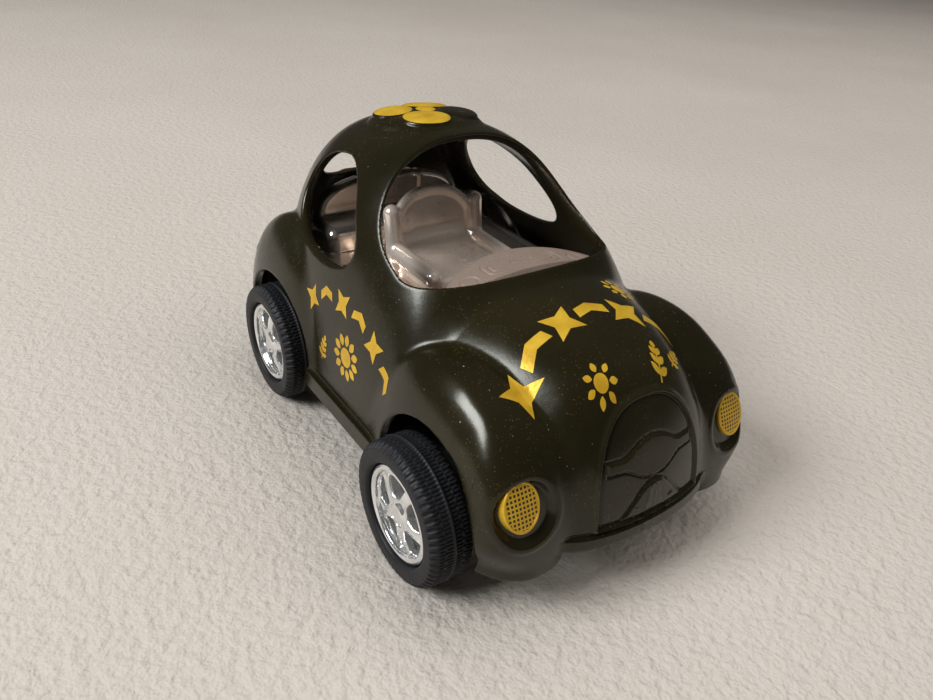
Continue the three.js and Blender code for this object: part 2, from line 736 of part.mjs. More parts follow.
// Plate outline, as [y, half-width] from the nose to the tail: narrow between the wheels
const waistHalf = bodyHalfWidth - 6.7;
const middleHalf = tubHalfWidth + seat;
const chassisPlan = [
  [noseY + 3.9, 8],
  [noseY + 5.4, 9.5],
  [frontPostY, 9.5],
  [frontPostY + 2, waistHalf],
  [10, waistHalf],
  [13, middleHalf],
  [wheelbase - 12.7, middleHalf],
  [wheelbase - 10.7, waistHalf],
  [wheelbase + 7.3, waistHalf],
  [tailY - 7, 10],
  [tailY - 3, 9],
  [tailY - 1.6, 7],
];

function screwHole(y) {
  const shaft = upright(screwRadius + seat, chassisBottomZ - 1, chassisTopZ + 1, 0, y);
  const seatZ = chassisBottomZ + screwSink + screwHeadHeight;
  const sink = upright(screwHeadRadius + seat, chassisBottomZ - 1, seatZ + 0.1, 0, y);
  return shaft.add(sink);
}

function bearing(side, y) {
  const x = side * bearingX;
  const [x0, x1] = [x - bearingWidth / 2, x + bearingWidth / 2];
  const crownZ = axleZ + 0.6;
  const block = box(x0, x1, y - bearingRadius, y + bearingRadius, chassisTopZ - 0.5, crownZ);
  return block.add(bar(bearingRadius, x0, x1, y, crownZ));
}

function chassis() {
  const right = chassisPlan.map(([y, half]) => new THREE.Vector2(half, y));
  const left = chassisPlan.map(([y, half]) => new THREE.Vector2(-half, y)).reverse();
  const plate = prism([...right, ...left], X, Y, new THREE.Vector3(), chassisBottomZ, chassisTopZ);
  const bearings = [-1, 1].flatMap((side) => [bearing(side, 0), bearing(side, wheelbase)]);
  const bores = [0, wheelbase].map((y) => bar(axleRadius + running, -middleHalf, middleHalf, y, axleZ));
  const margin = caseHalfWidth + seat;
  const opening = box(-margin, margin, caseFrontY - seat, caseRearY + seat, 0, chassisTopZ + 1);
  const holes = [...bores, opening, screwHole(frontPostY), screwHole(rearPostY)];
  return join([plate, ...bearings]).subtract(join(holes));
}

// Pan-head screw with a cross recess, sunk just below the plate
function screw(y) {
  const base = chassisBottomZ + screwSink;
  const head = upright(screwHeadRadius, base, base + screwHeadHeight, 0, y, 18);
  const shank = upright(screwRadius, base + 0.4, base + screwLength, 0, y, 12);
  const slot = box(-1.2, 1.2, -0.22, 0.22, -0.1, 0.35);
  const recess = slot.add(slot.rotate([0, 0, 90])).translate([0, y, base]);
  return head.add(shank).subtract(recess);
}

// ---------------------------------------------------------------- wheels and axles

const faceRecess = 0.2; // spokes sit inside the flange
const faceThickness = 1.2;
const hubCap = 0.7;
const flange = 0.9;

function tyre(x, y) {
  const half = tyreWidth / 2;
  const tread = tyreRadius - tyreRidge;
  const edge = tyreRadius - 0.73;
  const side = [
    [rimRadius + tyreFit, half - 0.5],
    [rimRadius + 1, half],
    [edge, half],
    [tread, half - 0.9],
  ];
  const inner = side.map(([r, sx]) => [r, -sx]).reverse();
  return turned([...side, [tyreRadius, 0], ...inner], ROUND).translate([x, y, axleZ]);
}

// Wheel disc facing +X, hollow behind, with five windows between its spokes
function rim(side, x, y) {
  const half = rimWidth / 2;
  const face = half - faceRecess;
  const back = face - faceThickness;
  const inner = rimRadius - flange;
  const profile = [
    [0, face],
    [inner, face],
    [inner + 0.25, half],
    [rimRadius, half],
    [rimRadius, -half],
    [inner, -half],
    [inner, back],
    [hubRadius, back],
    [hubRadius, -half],
    [axleRadius + pressFit, -half],
    [axleRadius + pressFit, face - hubCap],
    [0, face - hubCap],
  ];
  const disc = turned(profile, 16).subtract(join(spokeWindows(back - 1, half + 1)));
  return disc.rotate([0, side > 0 ? 0 : 180, 0]).translate([x, y, axleZ]);
}

function spokeWindows(from, to) {
  const middle = (hubRadius + rimRadius - flange) / 2 + 0.25;
  const outline = superellipse(1.2, 1.5, 2.4, 10).map((p) => {
    return new THREE.Vector2(middle + p.x, (p.y * (middle + p.x)) / middle);
  });
  return Array.from({ length: 5 }, (_, i) => {
    const window = prism(outline, Y, Z, new THREE.Vector3(), from, to);
    return window.rotate([90 + 72 * i, 0, 0]);
  });
}

function axle(wheelX, y) {
  const reach = wheelX + rimWidth / 2 - faceRecess - hubCap - seat;
  return bar(axleRadius, -reach, reach, y, axleZ);
}

// ---------------------------------------------------------------- pull-back motor

// Involute gear along X with one tooth centred on the given direction in the YZ plane
function gear(teeth, x, y, z, toothAngle) {
  const pitch = pitchRadius(teeth);
  const base = pitch * Math.cos(gearPressureAngle);
  const root = pitch - gearDedendum;
  const involute = (r) => {
    const a = Math.acos(Math.min(base / r, 1));
    return Math.tan(a) - a;
  };
  const halfTooth = (Math.PI * pitch) / (2 * teeth) - gearBacklash / 2;
  const flank = [0, 1].map((t) => {
    const r = THREE.MathUtils.lerp(Math.max(base, root), pitch + gearAddendum, t);
    return [r, halfTooth / pitch + involute(pitch) - involute(r)];
  });
  const tooth = [[root, flank[0][1] + 0.03], ...flank];
  const outline = [];
  for (let i = 0; i < teeth; i++) {
    const centre = toothAngle + (2 * Math.PI * i) / teeth;
    for (const [r, a] of tooth) outline.push(polar(r, centre - a));
    for (const [r, a] of [...tooth].reverse()) outline.push(polar(r, centre + a));
  }
  return prism(outline, Y, Z, new THREE.Vector3(0, y, z), x, x + gearWidth);
}

function polar(r, angle) {
  return new THREE.Vector2(r * Math.cos(angle), r * Math.sin(angle));
}

function axleGear() {
  const wheel = gear(axleGearTeeth, drivePlaneX, wheelbase, axleZ, driveAngle);
  const hubX = drivePlaneX - gearHub.length;
  const hub = bar(gearHub.radius, hubX, drivePlaneX + gearWidth / 2, wheelbase, axleZ);
  const bore = bar(axleRadius + pressFit, hubX - 1, drivePlaneX + gearWidth + 1, wheelbase, axleZ);
  return wheel.add(hub).subtract(bore);
}

function idlerGear() {
  const space = driveAngle + Math.PI + Math.PI / idlerWheelTeeth;
  const wheel = gear(idlerWheelTeeth, drivePlaneX, idlerY, idlerZ, space);
  const pinion = gear(idlerPinionTeeth, windPlaneX, idlerY, idlerZ, windAngle);
  const neckX = drivePlaneX + gearWidth / 2;
  const neck = bar(idlerNeckRadius, neckX, windPlaneX + gearWidth / 2, idlerY, idlerZ);
  const bore = bar(pinRadius + running, -caseHalfWidth, caseHalfWidth, idlerY, idlerZ);
  return join([wheel, pinion, neck]).subtract(bore);
}

function springGear() {
  const space = windAngle + Math.PI + Math.PI / springGearTeeth;
  const wheel = gear(springGearTeeth, windPlaneX, springY, springZ, space);
  const arborX = windPlaneX + gearWidth / 2;
  const arbor = bar(arborRadius, windPlaneX - arborLength, arborX, springY, springZ);
  const bore = bar(pinRadius + running, -caseHalfWidth, caseHalfWidth, springY, springZ);
  return wheel.add(arbor).subtract(bore);
}

function pin(y, z) {
  return bar(pinRadius, -caseHalfWidth, caseHalfWidth, y, z, 12);
}

// Flat spiral strip round the arbor; its outer end runs forward to the case
function mainspring() {
  const inner = arborRadius + seat + springThickness / 2;
  const steps = springTurns * 13;
  const line = Array.from({ length: steps + 1 }, (_, i) => {
    const t = i / steps;
    return polar(inner + (springOuterRadius - inner) * t, 2 * Math.PI * springTurns * t + Math.PI);
  });
  const edge = (offset) => line.map((p) => p.clone().setLength(p.length() + offset));
  const outline = [...edge(springThickness / 2), ...edge(-springThickness / 2).reverse()];
  const x = windPlaneX - springInset;
  return prism(outline, Y, Z, new THREE.Vector3(0, springY, springZ), x, x + springWidth);
}

// Side outline of the motor, offset inwards; it slopes down from the idler to behind the axle
function caseOutline(inset) {
  const corners = [
    [caseFrontY, caseBottomZ + caseChamfer],
    [caseFrontY + caseChamfer, caseBottomZ],
    [caseRearY, caseBottomZ],
    [caseRearY, axleZ + 4],
    [idlerY + caseShoulder, idlerZ + caseShoulder],
    [idlerY, caseTopZ],
    [caseFrontY + caseChamfer, caseTopZ],
    [caseFrontY, caseTopZ - caseChamfer],
  ].map(([y, z]) => new THREE.Vector2(y, z));
  return insetPolygon(corners, inset);
}

// Moves every side of a convex counter-clockwise polygon inwards
function insetPolygon(corners, inset) {
  return corners.map((corner, i) => {
    const before = corner.clone().sub(corners[(i + corners.length - 1) % corners.length]).normalize();
    const after = corners[(i + 1) % corners.length].clone().sub(corner).normalize();
    const bend = 1 + before.dot(after);
    const inward = new THREE.Vector2(-before.y - after.y, before.x + after.x);
    return corner.clone().addScaledVector(inward, inset / bend);
  });
}

// Round bore right through the motor, for a pin or for the axle
function motorBore(radius, y, z) {
  return bar(radius, -caseHalfWidth - 1, caseHalfWidth + 1, y, z);
}

function motorBores() {
  return join([
    motorBore(pinRadius + pressFit, idlerY, idlerZ),
    motorBore(pinRadius + pressFit, springY, springZ),
    motorBore(axleRadius + seat, wheelbase, axleZ),
  ]);
}

// Slot under the axle gear, whose teeth reach almost to the road side of the case
function gearWindow() {
  const half = pitchRadius(axleGearTeeth) + gearAddendum + seat;
  const [x0, x1] = [drivePlaneX - seat, drivePlaneX + gearWidth + seat];
  return box(x0, x1, wheelbase - half, wheelbase + half, 0, axleZ);
}

function casePrism(inset, x0, x1) {
  return prism(caseOutline(inset), Y, Z, new THREE.Vector3(), x0, x1);
}

function ears(x0, x1) {
  const bottom = chassisTopZ + seat;
  const front = caseFrontY + caseEar.front;
  return box(x0, x1, front, front + caseEar.length, bottom, bottom + caseEar.thickness);
}

// Open on its +X side, where the cover closes it
function motorCase() {
  const split = caseHalfWidth - coverPlate - seat;
  const inside = casePrism(caseWall, -caseHalfWidth + caseWall, split + 1);
  return casePrism(0, -caseHalfWidth, split)
    .add(ears(-caseHalfWidth - caseEar.out, split))
    .subtract(join([inside, motorBores(), gearWindow()]));
}

// Plate with a locating ring that fits inside the case
function motorCover() {
  const split = caseHalfWidth - coverPlate;
  const ring = casePrism(caseWall + seat, split - coverRing.depth, split + coverPlate / 2);
  const hollow = casePrism(caseWall + seat + coverRing.wall, split - coverRing.depth - 1, split);
  return casePrism(0, split, caseHalfWidth)
    .add(ring)
    .add(ears(split, caseHalfWidth + caseEar.out))
    .subtract(join([hollow, motorBores()]));
}

// ---------------------------------------------------------------- assembly

const car = new THREE.Group();
car.name = "pull_back_car";
car.add(
  piece("body_shell", bodyShell(), paint),
  piece("interior_tub", interiorTub(), chrome),
  piece("chassis", chassis(), black),
  piece("screw_front", screw(frontPostY), steel),
  piece("screw_rear", screw(rearPostY), steel),
  piece("front_axle", axle(frontWheelX, 0), steel),
  piece("rear_axle", axle(rearWheelX, wheelbase), steel),
  piece("axle_gear", axleGear(), nylon),
  piece("idler_gear", idlerGear(), nylon),
  piece("spring_gear", springGear(), nylon),
  piece("mainspring", mainspring(), springSteel),
  piece("idler_pin", pin(idlerY, idlerZ), steel),
  piece("spring_pin", pin(springY, springZ), steel),
  piece("motor_case", motorCase(), black),
  piece("motor_cover", motorCover(), black)
);
for (const [end, x, y] of [["front", frontWheelX, 0], ["rear", rearWheelX, wheelbase]]) {
  for (const [hand, side] of [["left", 1], ["right", -1]]) {
    car.add(piece(`rim_${end}_${hand}`, rim(side, side * x, y), chrome));
    car.add(piece(`tyre_${end}_${hand}`, tyre(side * x, y), rubber));
  }
}

const extent = new THREE.Box3().setFromObject(car);
const shift = -(extent.min.y + extent.max.y) / 2;
for (const mesh of car.children) mesh.geometry.translate(0, shift, 0);

export default car;
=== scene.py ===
import json
import math

import bpy
import numpy as np
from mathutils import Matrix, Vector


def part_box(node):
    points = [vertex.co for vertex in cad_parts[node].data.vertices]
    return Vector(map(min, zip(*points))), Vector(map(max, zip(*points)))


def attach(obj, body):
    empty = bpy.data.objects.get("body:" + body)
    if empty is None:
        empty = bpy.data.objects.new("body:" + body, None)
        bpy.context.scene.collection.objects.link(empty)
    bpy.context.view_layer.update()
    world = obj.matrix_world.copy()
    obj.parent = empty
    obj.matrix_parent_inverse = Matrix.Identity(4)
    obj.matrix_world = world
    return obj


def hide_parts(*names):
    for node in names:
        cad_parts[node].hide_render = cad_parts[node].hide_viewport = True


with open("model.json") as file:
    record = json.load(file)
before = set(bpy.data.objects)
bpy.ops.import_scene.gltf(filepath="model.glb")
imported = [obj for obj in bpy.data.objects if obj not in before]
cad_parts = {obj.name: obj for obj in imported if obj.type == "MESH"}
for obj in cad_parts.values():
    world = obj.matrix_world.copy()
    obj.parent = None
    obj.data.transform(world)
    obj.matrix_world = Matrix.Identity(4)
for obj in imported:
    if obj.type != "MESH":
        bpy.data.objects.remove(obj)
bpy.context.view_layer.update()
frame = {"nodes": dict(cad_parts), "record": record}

import openvdb
from mathutils import Euler, Matrix, Vector
from mathutils.geometry import delaunay_2d_cdt

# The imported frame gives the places. Shapes are worked out in millimetres with y = 0 at the
# front axle and z = 0 on the ground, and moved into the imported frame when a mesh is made.
MM = 0.001


def middle(node, axis):
    low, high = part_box(node)
    return (low[axis] + high[axis]) / 2 / MM


AXLE_Y = middle("front_axle", 1)
WHEELBASE = middle("rear_axle", 1) - AXLE_Y
AXLE_Z = middle("front_axle", 2)

# ------------------------------------------------------------------ body dimensions

WALL = 1.5
NOSE_Y, TAIL_Y, WIDEST_Y = -17.4, 63.0, 26.0
BODY_HALF, NOSE_HALF, NOSE_LENGTH = 22.2, 13.1, 4.5
NOSE_LEAN, LEAN_END = 0.12, -8.0
FLARE = (-18.3, 13.0)
FLOOR_Z = 9.0
BONNET_TOP, BONNET_END = 32.6, 11.0
ROOF_TOP, ROOF_Y, ROOF_SPRING = 46.9, 33.0, 16.2
ROOF_FRONT, ROOF_REAR = 29.5, 30.5
COWL_BLEND = 3.0
# How square a curve is: 2 is round, and more is squarer.
SECTION_POWER, SECTION_ROOT = 2.5, 0.4
NOSE_POWER, TAIL_POWER = 2.2, 2.6
BONNET_POWER, ROOF_FRONT_POWER, ROOF_REAR_POWER = 2.9, 2.0, 2.6

FENDER_OUT, FENDER_CROWN, FENDER_IN = 24.0, 16.9, 6.0
FENDER_FLOOR = 6.6
FENDERS = {
    "front": {"y": 1.5, "front": 16.6, "rear": 17.5, "height": 18.4, "arch": 0.3},
    "rear": {"y": WHEELBASE + 0.5, "front": 16.5, "rear": 17.5, "height": 20.5, "arch": WHEELBASE + 0.5},
}
FENDER_ROUND, FENDER_SECTION = 2.1, 2.3
# Towards the lamps a fender's crown moves in and its section gets squarer.
LAMP_END = {"y": -5, "length": 7, "crown_in": 1.6, "squarer": 1.3, "z": 8, "rise": 5}
ARCH_RADIUS, ARCH_Z, ARCH_IN = 10.9, 10.5, 14.0
SILL = {"x": 21.0, "half_width": 2.1, "z": 8.55, "half_height": 1.5}

LAMP = {"x": 17.7, "z": 16.5, "half_width": 4.1, "half_height": 4.4, "pitch": 0.41, "turn": 0.04}
LAMP_DEPTH, LAMP_SLOPE, LAMP_LIP = 0.95, 1.1, 0.1
LENS = {"x": 18.2, "y": -13.0, "z": 17.4, "half_width": 2.5, "half_height": 3.15}
# Bands of (share of the lens's size, height off its plane).
LENS_BANDS = [(0.05, 0.1), (0.4, 0.09), (0.7, 0.05), (0.885, 0.0)]
LENS_RIM_BANDS = [(0.88, -0.05), (0.885, 0.05), (0.93, 0.09), (0.985, 0.04), (1.0, -0.06), (1.0, -1.6)]
TAIL_LAMP = {"x": 17.6, "y": 61.9, "z": 18, "half_width": 2.3, "depth": 1.2, "half_height": 3.2}

MEDALLION = {"y": 38.9, "z": 45.6, "radius": 8.9, "height": 1.7, "tilt": -0.086}
MEDALLION_FOOT = 1.2
PETAL_TURNS = [math.radians(60 + 90 * k) for k in range(4)]
PETAL_PLACE, PETAL_POWER = 4.9, 2.2

# Mouldings on the nose and the tail.
PANEL_BOTTOM, STRIP_Z, BELL_HALF = 11.2, 19.35, 4.3
LOUVRE = {"pitch": 1.6, "half_slot": 0.32, "z": 22.5, "half_height": 2.2, "half_width": 4.2}

WINDSCREEN = {"y": 7.8, "z": 33.1, "rise": 0.793, "run": 0.61, "widest": 8, "half_width": 17.1}
SCREEN_TOP, SCREEN_TOP_POWER = 16.2, 2.3
SCREEN_FOOT, SCREEN_FOOT_POWER = 6.8, 2.9
SCREEN_AHEAD, SCREEN_BEHIND = -14, 16
SIDE_WINDOW = {"y": 35.9, "z": 35.4, "half_length": 11.6, "half_height": 6.6, "inside": 8}
SIDE_POST = {"y": 36.6, "lean": 0.82, "away": 6.3, "corner": 4.0}
REAR_WINDOW = {"z": 35.5, "half_width": 9.0, "half_height": 4.2, "from_y": 49}

# The shell is meshed in three lengths that overlap by a hair, the two ends finer than the middle.
NOSE_SPLIT, TAIL_SPLIT, SPLIT_OVERLAP = -9.0, 57.0, 0.05
END_VOXEL, MIDDLE_VOXEL = 0.2, 0.32


# ------------------------------------------------------------------ fields
# A field takes arrays of x, y, z and returns about the signed distance, negative inside.

def arc(t, n):
    return (1 - np.clip(t, 0, 1) ** n) ** (1 / n)


def smoothstep(t):
    t = np.clip(t, 0, 1)
    return t * t * (3 - 2 * t)


def smax(a, b, k):
    h = np.clip(0.5 + 0.5 * (a - b) / k, 0, 1)
    return b + (a - b) * h + k * h * (1 - h)


def smin(a, b, k):
    return -smax(-a, -b, k)


def distance(level, x, y, z, h=0.04):
    """Turns an implicit level, 1 on the surface, into about a distance."""
    value = level(x, y, z)
    gx = (level(x + h, y, z) - value) / h
    gy = (level(x, y + h, z) - value) / h
    gz = (level(x, y, z + h) - value) / h
    slope = np.sqrt(gx * gx + gy * gy + gz * gz)
    return (value - 1) / np.maximum(slope, 0.02)


def body_half_width(y):
    flare = smoothstep((y - FLARE[0]) / (FLARE[1] - FLARE[0]))
    nose = arc((NOSE_Y + NOSE_LENGTH - y) / NOSE_LENGTH, NOSE_POWER)
    tail = arc((y - WIDEST_Y) / (TAIL_Y - WIDEST_Y), TAIL_POWER)
    return (NOSE_HALF + (BODY_HALF - NOSE_HALF) * flare) * nose * tail


def body_top(y):
    rise = arc((BONNET_END - y) / (BONNET_END - NOSE_Y), BONNET_POWER)
    bonnet = FLOOR_Z + (BONNET_TOP - FLOOR_Z) * rise
    front = arc((ROOF_Y - y) / ROOF_FRONT, ROOF_FRONT_POWER)
    rear = arc((y - ROOF_Y) / ROOF_REAR, ROOF_REAR_POWER)
    roof = ROOF_SPRING + (ROOF_TOP - ROOF_SPRING) * np.where(y < ROOF_Y, front, rear)
    return smax(bonnet, roof, COWL_BLEND)


def before_lean(y, z):
    """Where a point was along the car before the nose leaned back."""
    rise = NOSE_LEAN * np.maximum(z - FLOOR_Z, 0)
    straight = y
    for _ in range(6):
        straight = y - rise * (1 - smoothstep((straight - NOSE_Y) / (LEAN_END - NOSE_Y)))
    return straight


def hull_level(x, y, z):
    y = np.clip(before_lean(y, z), NOSE_Y + 1e-4, TAIL_Y - 1e-4)
    across = np.abs(x) / np.maximum(body_half_width(y), 0.02)
    up = np.maximum(z - FLOOR_Z, 0) / (body_top(y) - FLOOR_Z)
    return (across ** SECTION_POWER + up ** SECTION_POWER) ** SECTION_ROOT


def hull(x, y, z):
    ends = np.maximum(NOSE_Y - before_lean(y, z), y - TAIL_Y)
    # The level alone gives far too short a distance beside the tail, where the sides turn in sharply.
    behind = np.maximum(y - WIDEST_Y, 0)
    plan = superellipse(np.maximum(np.abs(x), 0.1), behind, BODY_HALF, TAIL_Y - WIDEST_Y, TAIL_POWER)
    return np.maximum.reduce([distance(hull_level, x, y, z), ends, plan])


def fender_level(form):
    def level(x, y, z):
        dy = y - form["y"]
        length = np.where(dy < 0, form["front"], form["rear"])
        dz = np.maximum(z - AXLE_Z, 0)
        n = FENDER_ROUND
        round_wheel = (np.abs(dy / length) ** n + (dz / form["height"]) ** n) ** (1 / n)
        ahead = smoothstep((LAMP_END["y"] - y) / LAMP_END["length"])
        x = np.abs(x)
        crown = FENDER_CROWN - LAMP_END["crown_in"] * ahead
        out = np.where(x > crown, FENDER_OUT - crown, crown - FENDER_IN)
        above = smoothstep((z - LAMP_END["z"]) / LAMP_END["rise"])
        n = FENDER_SECTION + LAMP_END["squarer"] * ahead * above
        return (round_wheel ** n + (np.abs(x - crown) / out) ** n) ** (1 / n)

    return level


def fender(form, x, y, z):
    return distance(fender_level(form), x, y, z)


def superellipse(u, v, a, b, n):
    """About the distance in the u, v plane from a superellipse."""
    rho = (np.abs(u / a) ** n + np.abs(v / b) ** n) ** (1 / n)
    return np.hypot(u, v) * (1 - 1 / np.maximum(rho, 1e-3))


def arch_shape(x, z, half, bottom, height, n=2.6):
    return np.maximum(bottom - z, superellipse(x, z - bottom, half, height, n))


def step(s, width=0.25):
    """1 inside an outline, 0 outside, with a soft edge."""
    return smoothstep(0.5 - s / width / 2)


def ridge(s, width=0.4):
    """1 on an outline, falling away on both sides of it."""
    return np.exp(-(s / width) ** 2)


def moulding(s):
    """A low raised shape with a fine groove round it."""
    return 0.2 * step(s, 0.14) - 0.16 * ridge(s - 0.22, 0.16)


def nose_relief(x, z):
    """Panel with a beaded edge, a strip with an eye-shaped boss, and a bell-shaped moulding under it."""
    panel = arch_shape(x, z, 9.2, PANEL_BOTTOM, 15.4)
    strip = np.maximum(np.abs(z - STRIP_Z) - 0.62, np.abs(x) - 6.9)
    boss = superellipse(x, z - STRIP_Z, 3.8, 2.25, 2)
    band = smin(strip, boss, 1.3)
    bead = 0.12 * step(panel, 0.3) + 0.36 * ridge(panel + 0.35, 0.3) - 0.25 * ridge(panel + 0.9, 0.22)
    inside = step(panel + 0.9, 0.3)
    raised = bead + (moulding(band) + moulding(bell_shape(x, z))) * inside
    return raised * smoothstep((z - PANEL_BOTTOM) / 0.4)


def bell_shape(x, z):
    """About the distance from a bell-shaped outline standing on the lower edge of the panel."""
    rise = 5.4 * np.exp(-np.abs(x / BELL_HALF) ** 2.2)
    slope = rise * 0.51 * np.abs(x / BELL_HALF) ** 1.2
    return (z - 11.0 - rise) / np.sqrt(1 + slope ** 2)


def tail_relief(x, z):
    """Lid with a beaded edge and a block of louvres."""
    lid = arch_shape(x, z, 8.6, 14.0, 13.0)
    slot = np.maximum.reduce([
        np.abs((z % LOUVRE["pitch"]) - LOUVRE["pitch"] / 2) - LOUVRE["half_slot"],
        np.abs(z - LOUVRE["z"]) - LOUVRE["half_height"],
        np.abs(x) - LOUVRE["half_width"],
    ])
    return 0.3 * step(lid) + 0.15 * ridge(lid + 0.5, 0.35) - 0.25 * step(slot, 0.35)


def relief(x, y, z):
    """How far the mouldings push the skin forwards at the nose, or backwards (negative) at the tail."""
    lip = (0.4 * step(z - 10.9, 0.25) - 0.22 * ridge(z - 11.2, 0.2)) * step(np.abs(x) - 13.2, 0.8)
    nose = (nose_relief(x, z) + lip) * smoothstep((-6 - y) / 2)
    tail = (tail_relief(x, z) + lip) * smoothstep((y - 50) / 2)
    return nose - tail


def outer_skin(x, y, z):
    body = smax(hull(x, y + relief(x, y, z), z), FLOOR_Z - z, 0.5)
    for form in FENDERS.values():
        swell = smax(fender(form, x, y, z), FENDER_FLOOR - z, 0.6)
        body = smin(body, swell, 0.8)
    sill = np.maximum.reduce([
        np.abs(np.abs(x) - SILL["x"]) - SILL["half_width"],
        np.abs(z - SILL["z"]) - SILL["half_height"],
        FENDERS["front"]["y"] - y,
        y - FENDERS["rear"]["y"],
    ])
    body = smin(body, sill, 0.5)
    body = smin(body, medallion(x, y, z), 0.4)
    for side in (-1, 1):
        body = body + lamp_pocket(side, x, y, z)
        body = smin(body, tail_lamp(side, x, y, z), 0.35)
    return body


def inner_skin(x, y, z):
    body = hull(x, y, np.maximum(z, FLOOR_Z))
    for form in FENDERS.values():
        body = smin(body, fender(form, x, y, np.maximum(z, AXLE_Z)), 1.3)
    return body + WALL


def medallion(x, y, z):
    """Low dome on the roof with four raised petals round a button."""
    m = MEDALLION
    c, s = math.cos(m["tilt"]), math.sin(m["tilt"])
    dy, dz = y - m["y"], z - m["z"]
    v, h = dy * c + dz * s, dz * c - dy * s
    r = np.hypot(x, v)
    dome = superellipse(r, h + MEDALLION_FOOT, m["radius"], m["height"] + MEDALLION_FOOT, 2.8)
    body = np.maximum(dome, -2.5 - h)
    for a in PETAL_TURNS:
        u, w = x * math.cos(a) + v * math.sin(a), v * math.cos(a) - x * math.sin(a)
        across = superellipse(u - PETAL_PLACE, w, 3.1, 3.7, PETAL_POWER) + 3
        petal = superellipse(across, h - 1.25 + 0.1 * (u - 3.0), 3.0, 0.8, 2.6)
        body = smin(body, petal, 0.3)
    button = superellipse(r, h - 1.5, 1.6, 0.6, 2.4)
    return smin(body, button, 0.3)


def lamp_pocket(side, x, y, z):
    """Depth of the lamp's sunk oval: an even step down with a narrow raised rim round it."""
    u, v = side * x - LAMP["x"], (z - LAMP["z"]) / math.cos(LAMP["pitch"])
    edge = superellipse(u, v, LAMP["half_width"], LAMP["half_height"], 2.1)
    sunk = LAMP_DEPTH * smoothstep(-edge / LAMP_SLOPE) - LAMP_LIP * ridge(edge - 0.4, 0.35)
    return sunk * smoothstep((-7 - y) / 2)


def tail_lamp(side, x, y, z):
    lamp = TAIL_LAMP
    across = (side * x - lamp["x"]) / lamp["half_width"]
    up = (z - lamp["z"]) / lamp["half_height"]
    out = (y - lamp["y"]) / lamp["depth"]
    return (np.sqrt(across ** 2 + up ** 2 + out ** 2) - 1) * lamp["depth"]


def windscreen(x, y, z):
    """An oval seen square on along a sloping line, fuller above its widest place than below."""
    w = WINDSCREEN
    dy, dz = y - w["y"], z - w["z"]
    up = w["rise"] * dy + w["run"] * dz
    through = -w["run"] * dy + w["rise"] * dz
    high = up > w["widest"]
    n = np.where(high, SCREEN_TOP_POWER, SCREEN_FOOT_POWER)
    b = np.where(high, SCREEN_TOP, SCREEN_FOOT)
    edge = superellipse(x, up - w["widest"], w["half_width"], b, n)
    return np.maximum.reduce([edge, SCREEN_AHEAD - through, through - SCREEN_BEHIND])


def side_window(x, y, z):
    """An oval cut off in front by the leaning post."""
    w, post = SIDE_WINDOW, SIDE_POST
    oval = superellipse(y - w["y"], z - w["z"], w["half_length"], w["half_height"], 2.3)
    up = (z - w["z"]) * math.cos(post["lean"])
    cut = (y - post["y"]) * -math.sin(post["lean"]) + up - post["away"]
    return np.maximum(smax(oval, cut, post["corner"]), w["inside"] - np.abs(x))


def rear_window(x, y, z):
    w = REAR_WINDOW
    oval = superellipse(x, z - w["z"], w["half_width"], w["half_height"], 2.6)
    return np.maximum(oval, w["from_y"] - y)


def body_shell(x, y, z):
    shell = smax(outer_skin(x, y, z), -inner_skin(x, y, z), 0.3)
    for window in (windscreen, side_window, rear_window):
        shell = smax(shell, -window(x, y, z), 0.7)
    for form in FENDERS.values():
        wheel_round = np.hypot(y - form["arch"], z - ARCH_Z) - ARCH_RADIUS
        shell = smax(shell, -np.maximum(wheel_round, ARCH_IN - np.abs(x)), 0.5)
    return shell


def nose_end(x, y, z):
    return np.maximum(body_shell(x, y, z), y - NOSE_SPLIT - SPLIT_OVERLAP)


def main_body(x, y, z):
    return np.maximum.reduce([body_shell(x, y, z), NOSE_SPLIT - y, y - TAIL_SPLIT])


def tail_end(x, y, z):
    return np.maximum(body_shell(x, y, z), TAIL_SPLIT - SPLIT_OVERLAP - y)


# ------------------------------------------------------------------ meshing

def sample_sparse(field, low, high, voxel, coarse=6):
    """Field on a grid, worked out only in the blocks that the surface passes through."""
    low = np.array(low, float)
    counts = np.ceil((np.array(high) - low) / (voxel * coarse)).astype(int)
    size = voxel * coarse
    middles = [low[i] + size * (np.arange(counts[i]) + 0.5) for i in range(3)]
    centres = np.stack(np.meshgrid(*middles, indexing="ij"), -1)
    near = np.abs(evaluate(field, centres.reshape(-1, 3))).reshape(counts) < size * 1.9
    block = np.arange(coarse)
    offsets = np.stack(np.meshgrid(block, block, block, indexing="ij"), -1).reshape(-1, 3)
    cells = np.argwhere(near)
    index = (cells[:, None, :] * coarse + offsets[None]).reshape(-1, 3)
    values = evaluate(field, low + index * voxel)
    far = evaluate(field, low + (np.argwhere(~near) * coarse + coarse / 2) * voxel)
    grid = np.empty(counts * coarse, np.float32)
    blocks = grid.reshape(counts[0], coarse, counts[1], coarse, counts[2], coarse)
    for (i, j, k), v in zip(np.argwhere(~near), far):
        blocks[i, :, j, :, k, :] = 1.0 if v > 0 else -1.0
    grid[index[:, 0], index[:, 1], index[:, 2]] = values
    return grid


def evaluate(field, points, chunk=400000):
    out = np.empty(len(points), np.float64)
    for i in range(0, len(points), chunk):
        p = points[i:i + chunk]
        out[i:i + chunk] = field(p[:, 0], p[:, 1], p[:, 2])
    return out


def gradient(field, points, h=0.03):
    g = np.empty_like(points)
    for axis in range(3):
        step_by = np.zeros(3)
        step_by[axis] = h
        g[:, axis] = (evaluate(field, points + step_by) - evaluate(field, points - step_by)) / (2 * h)
    return g


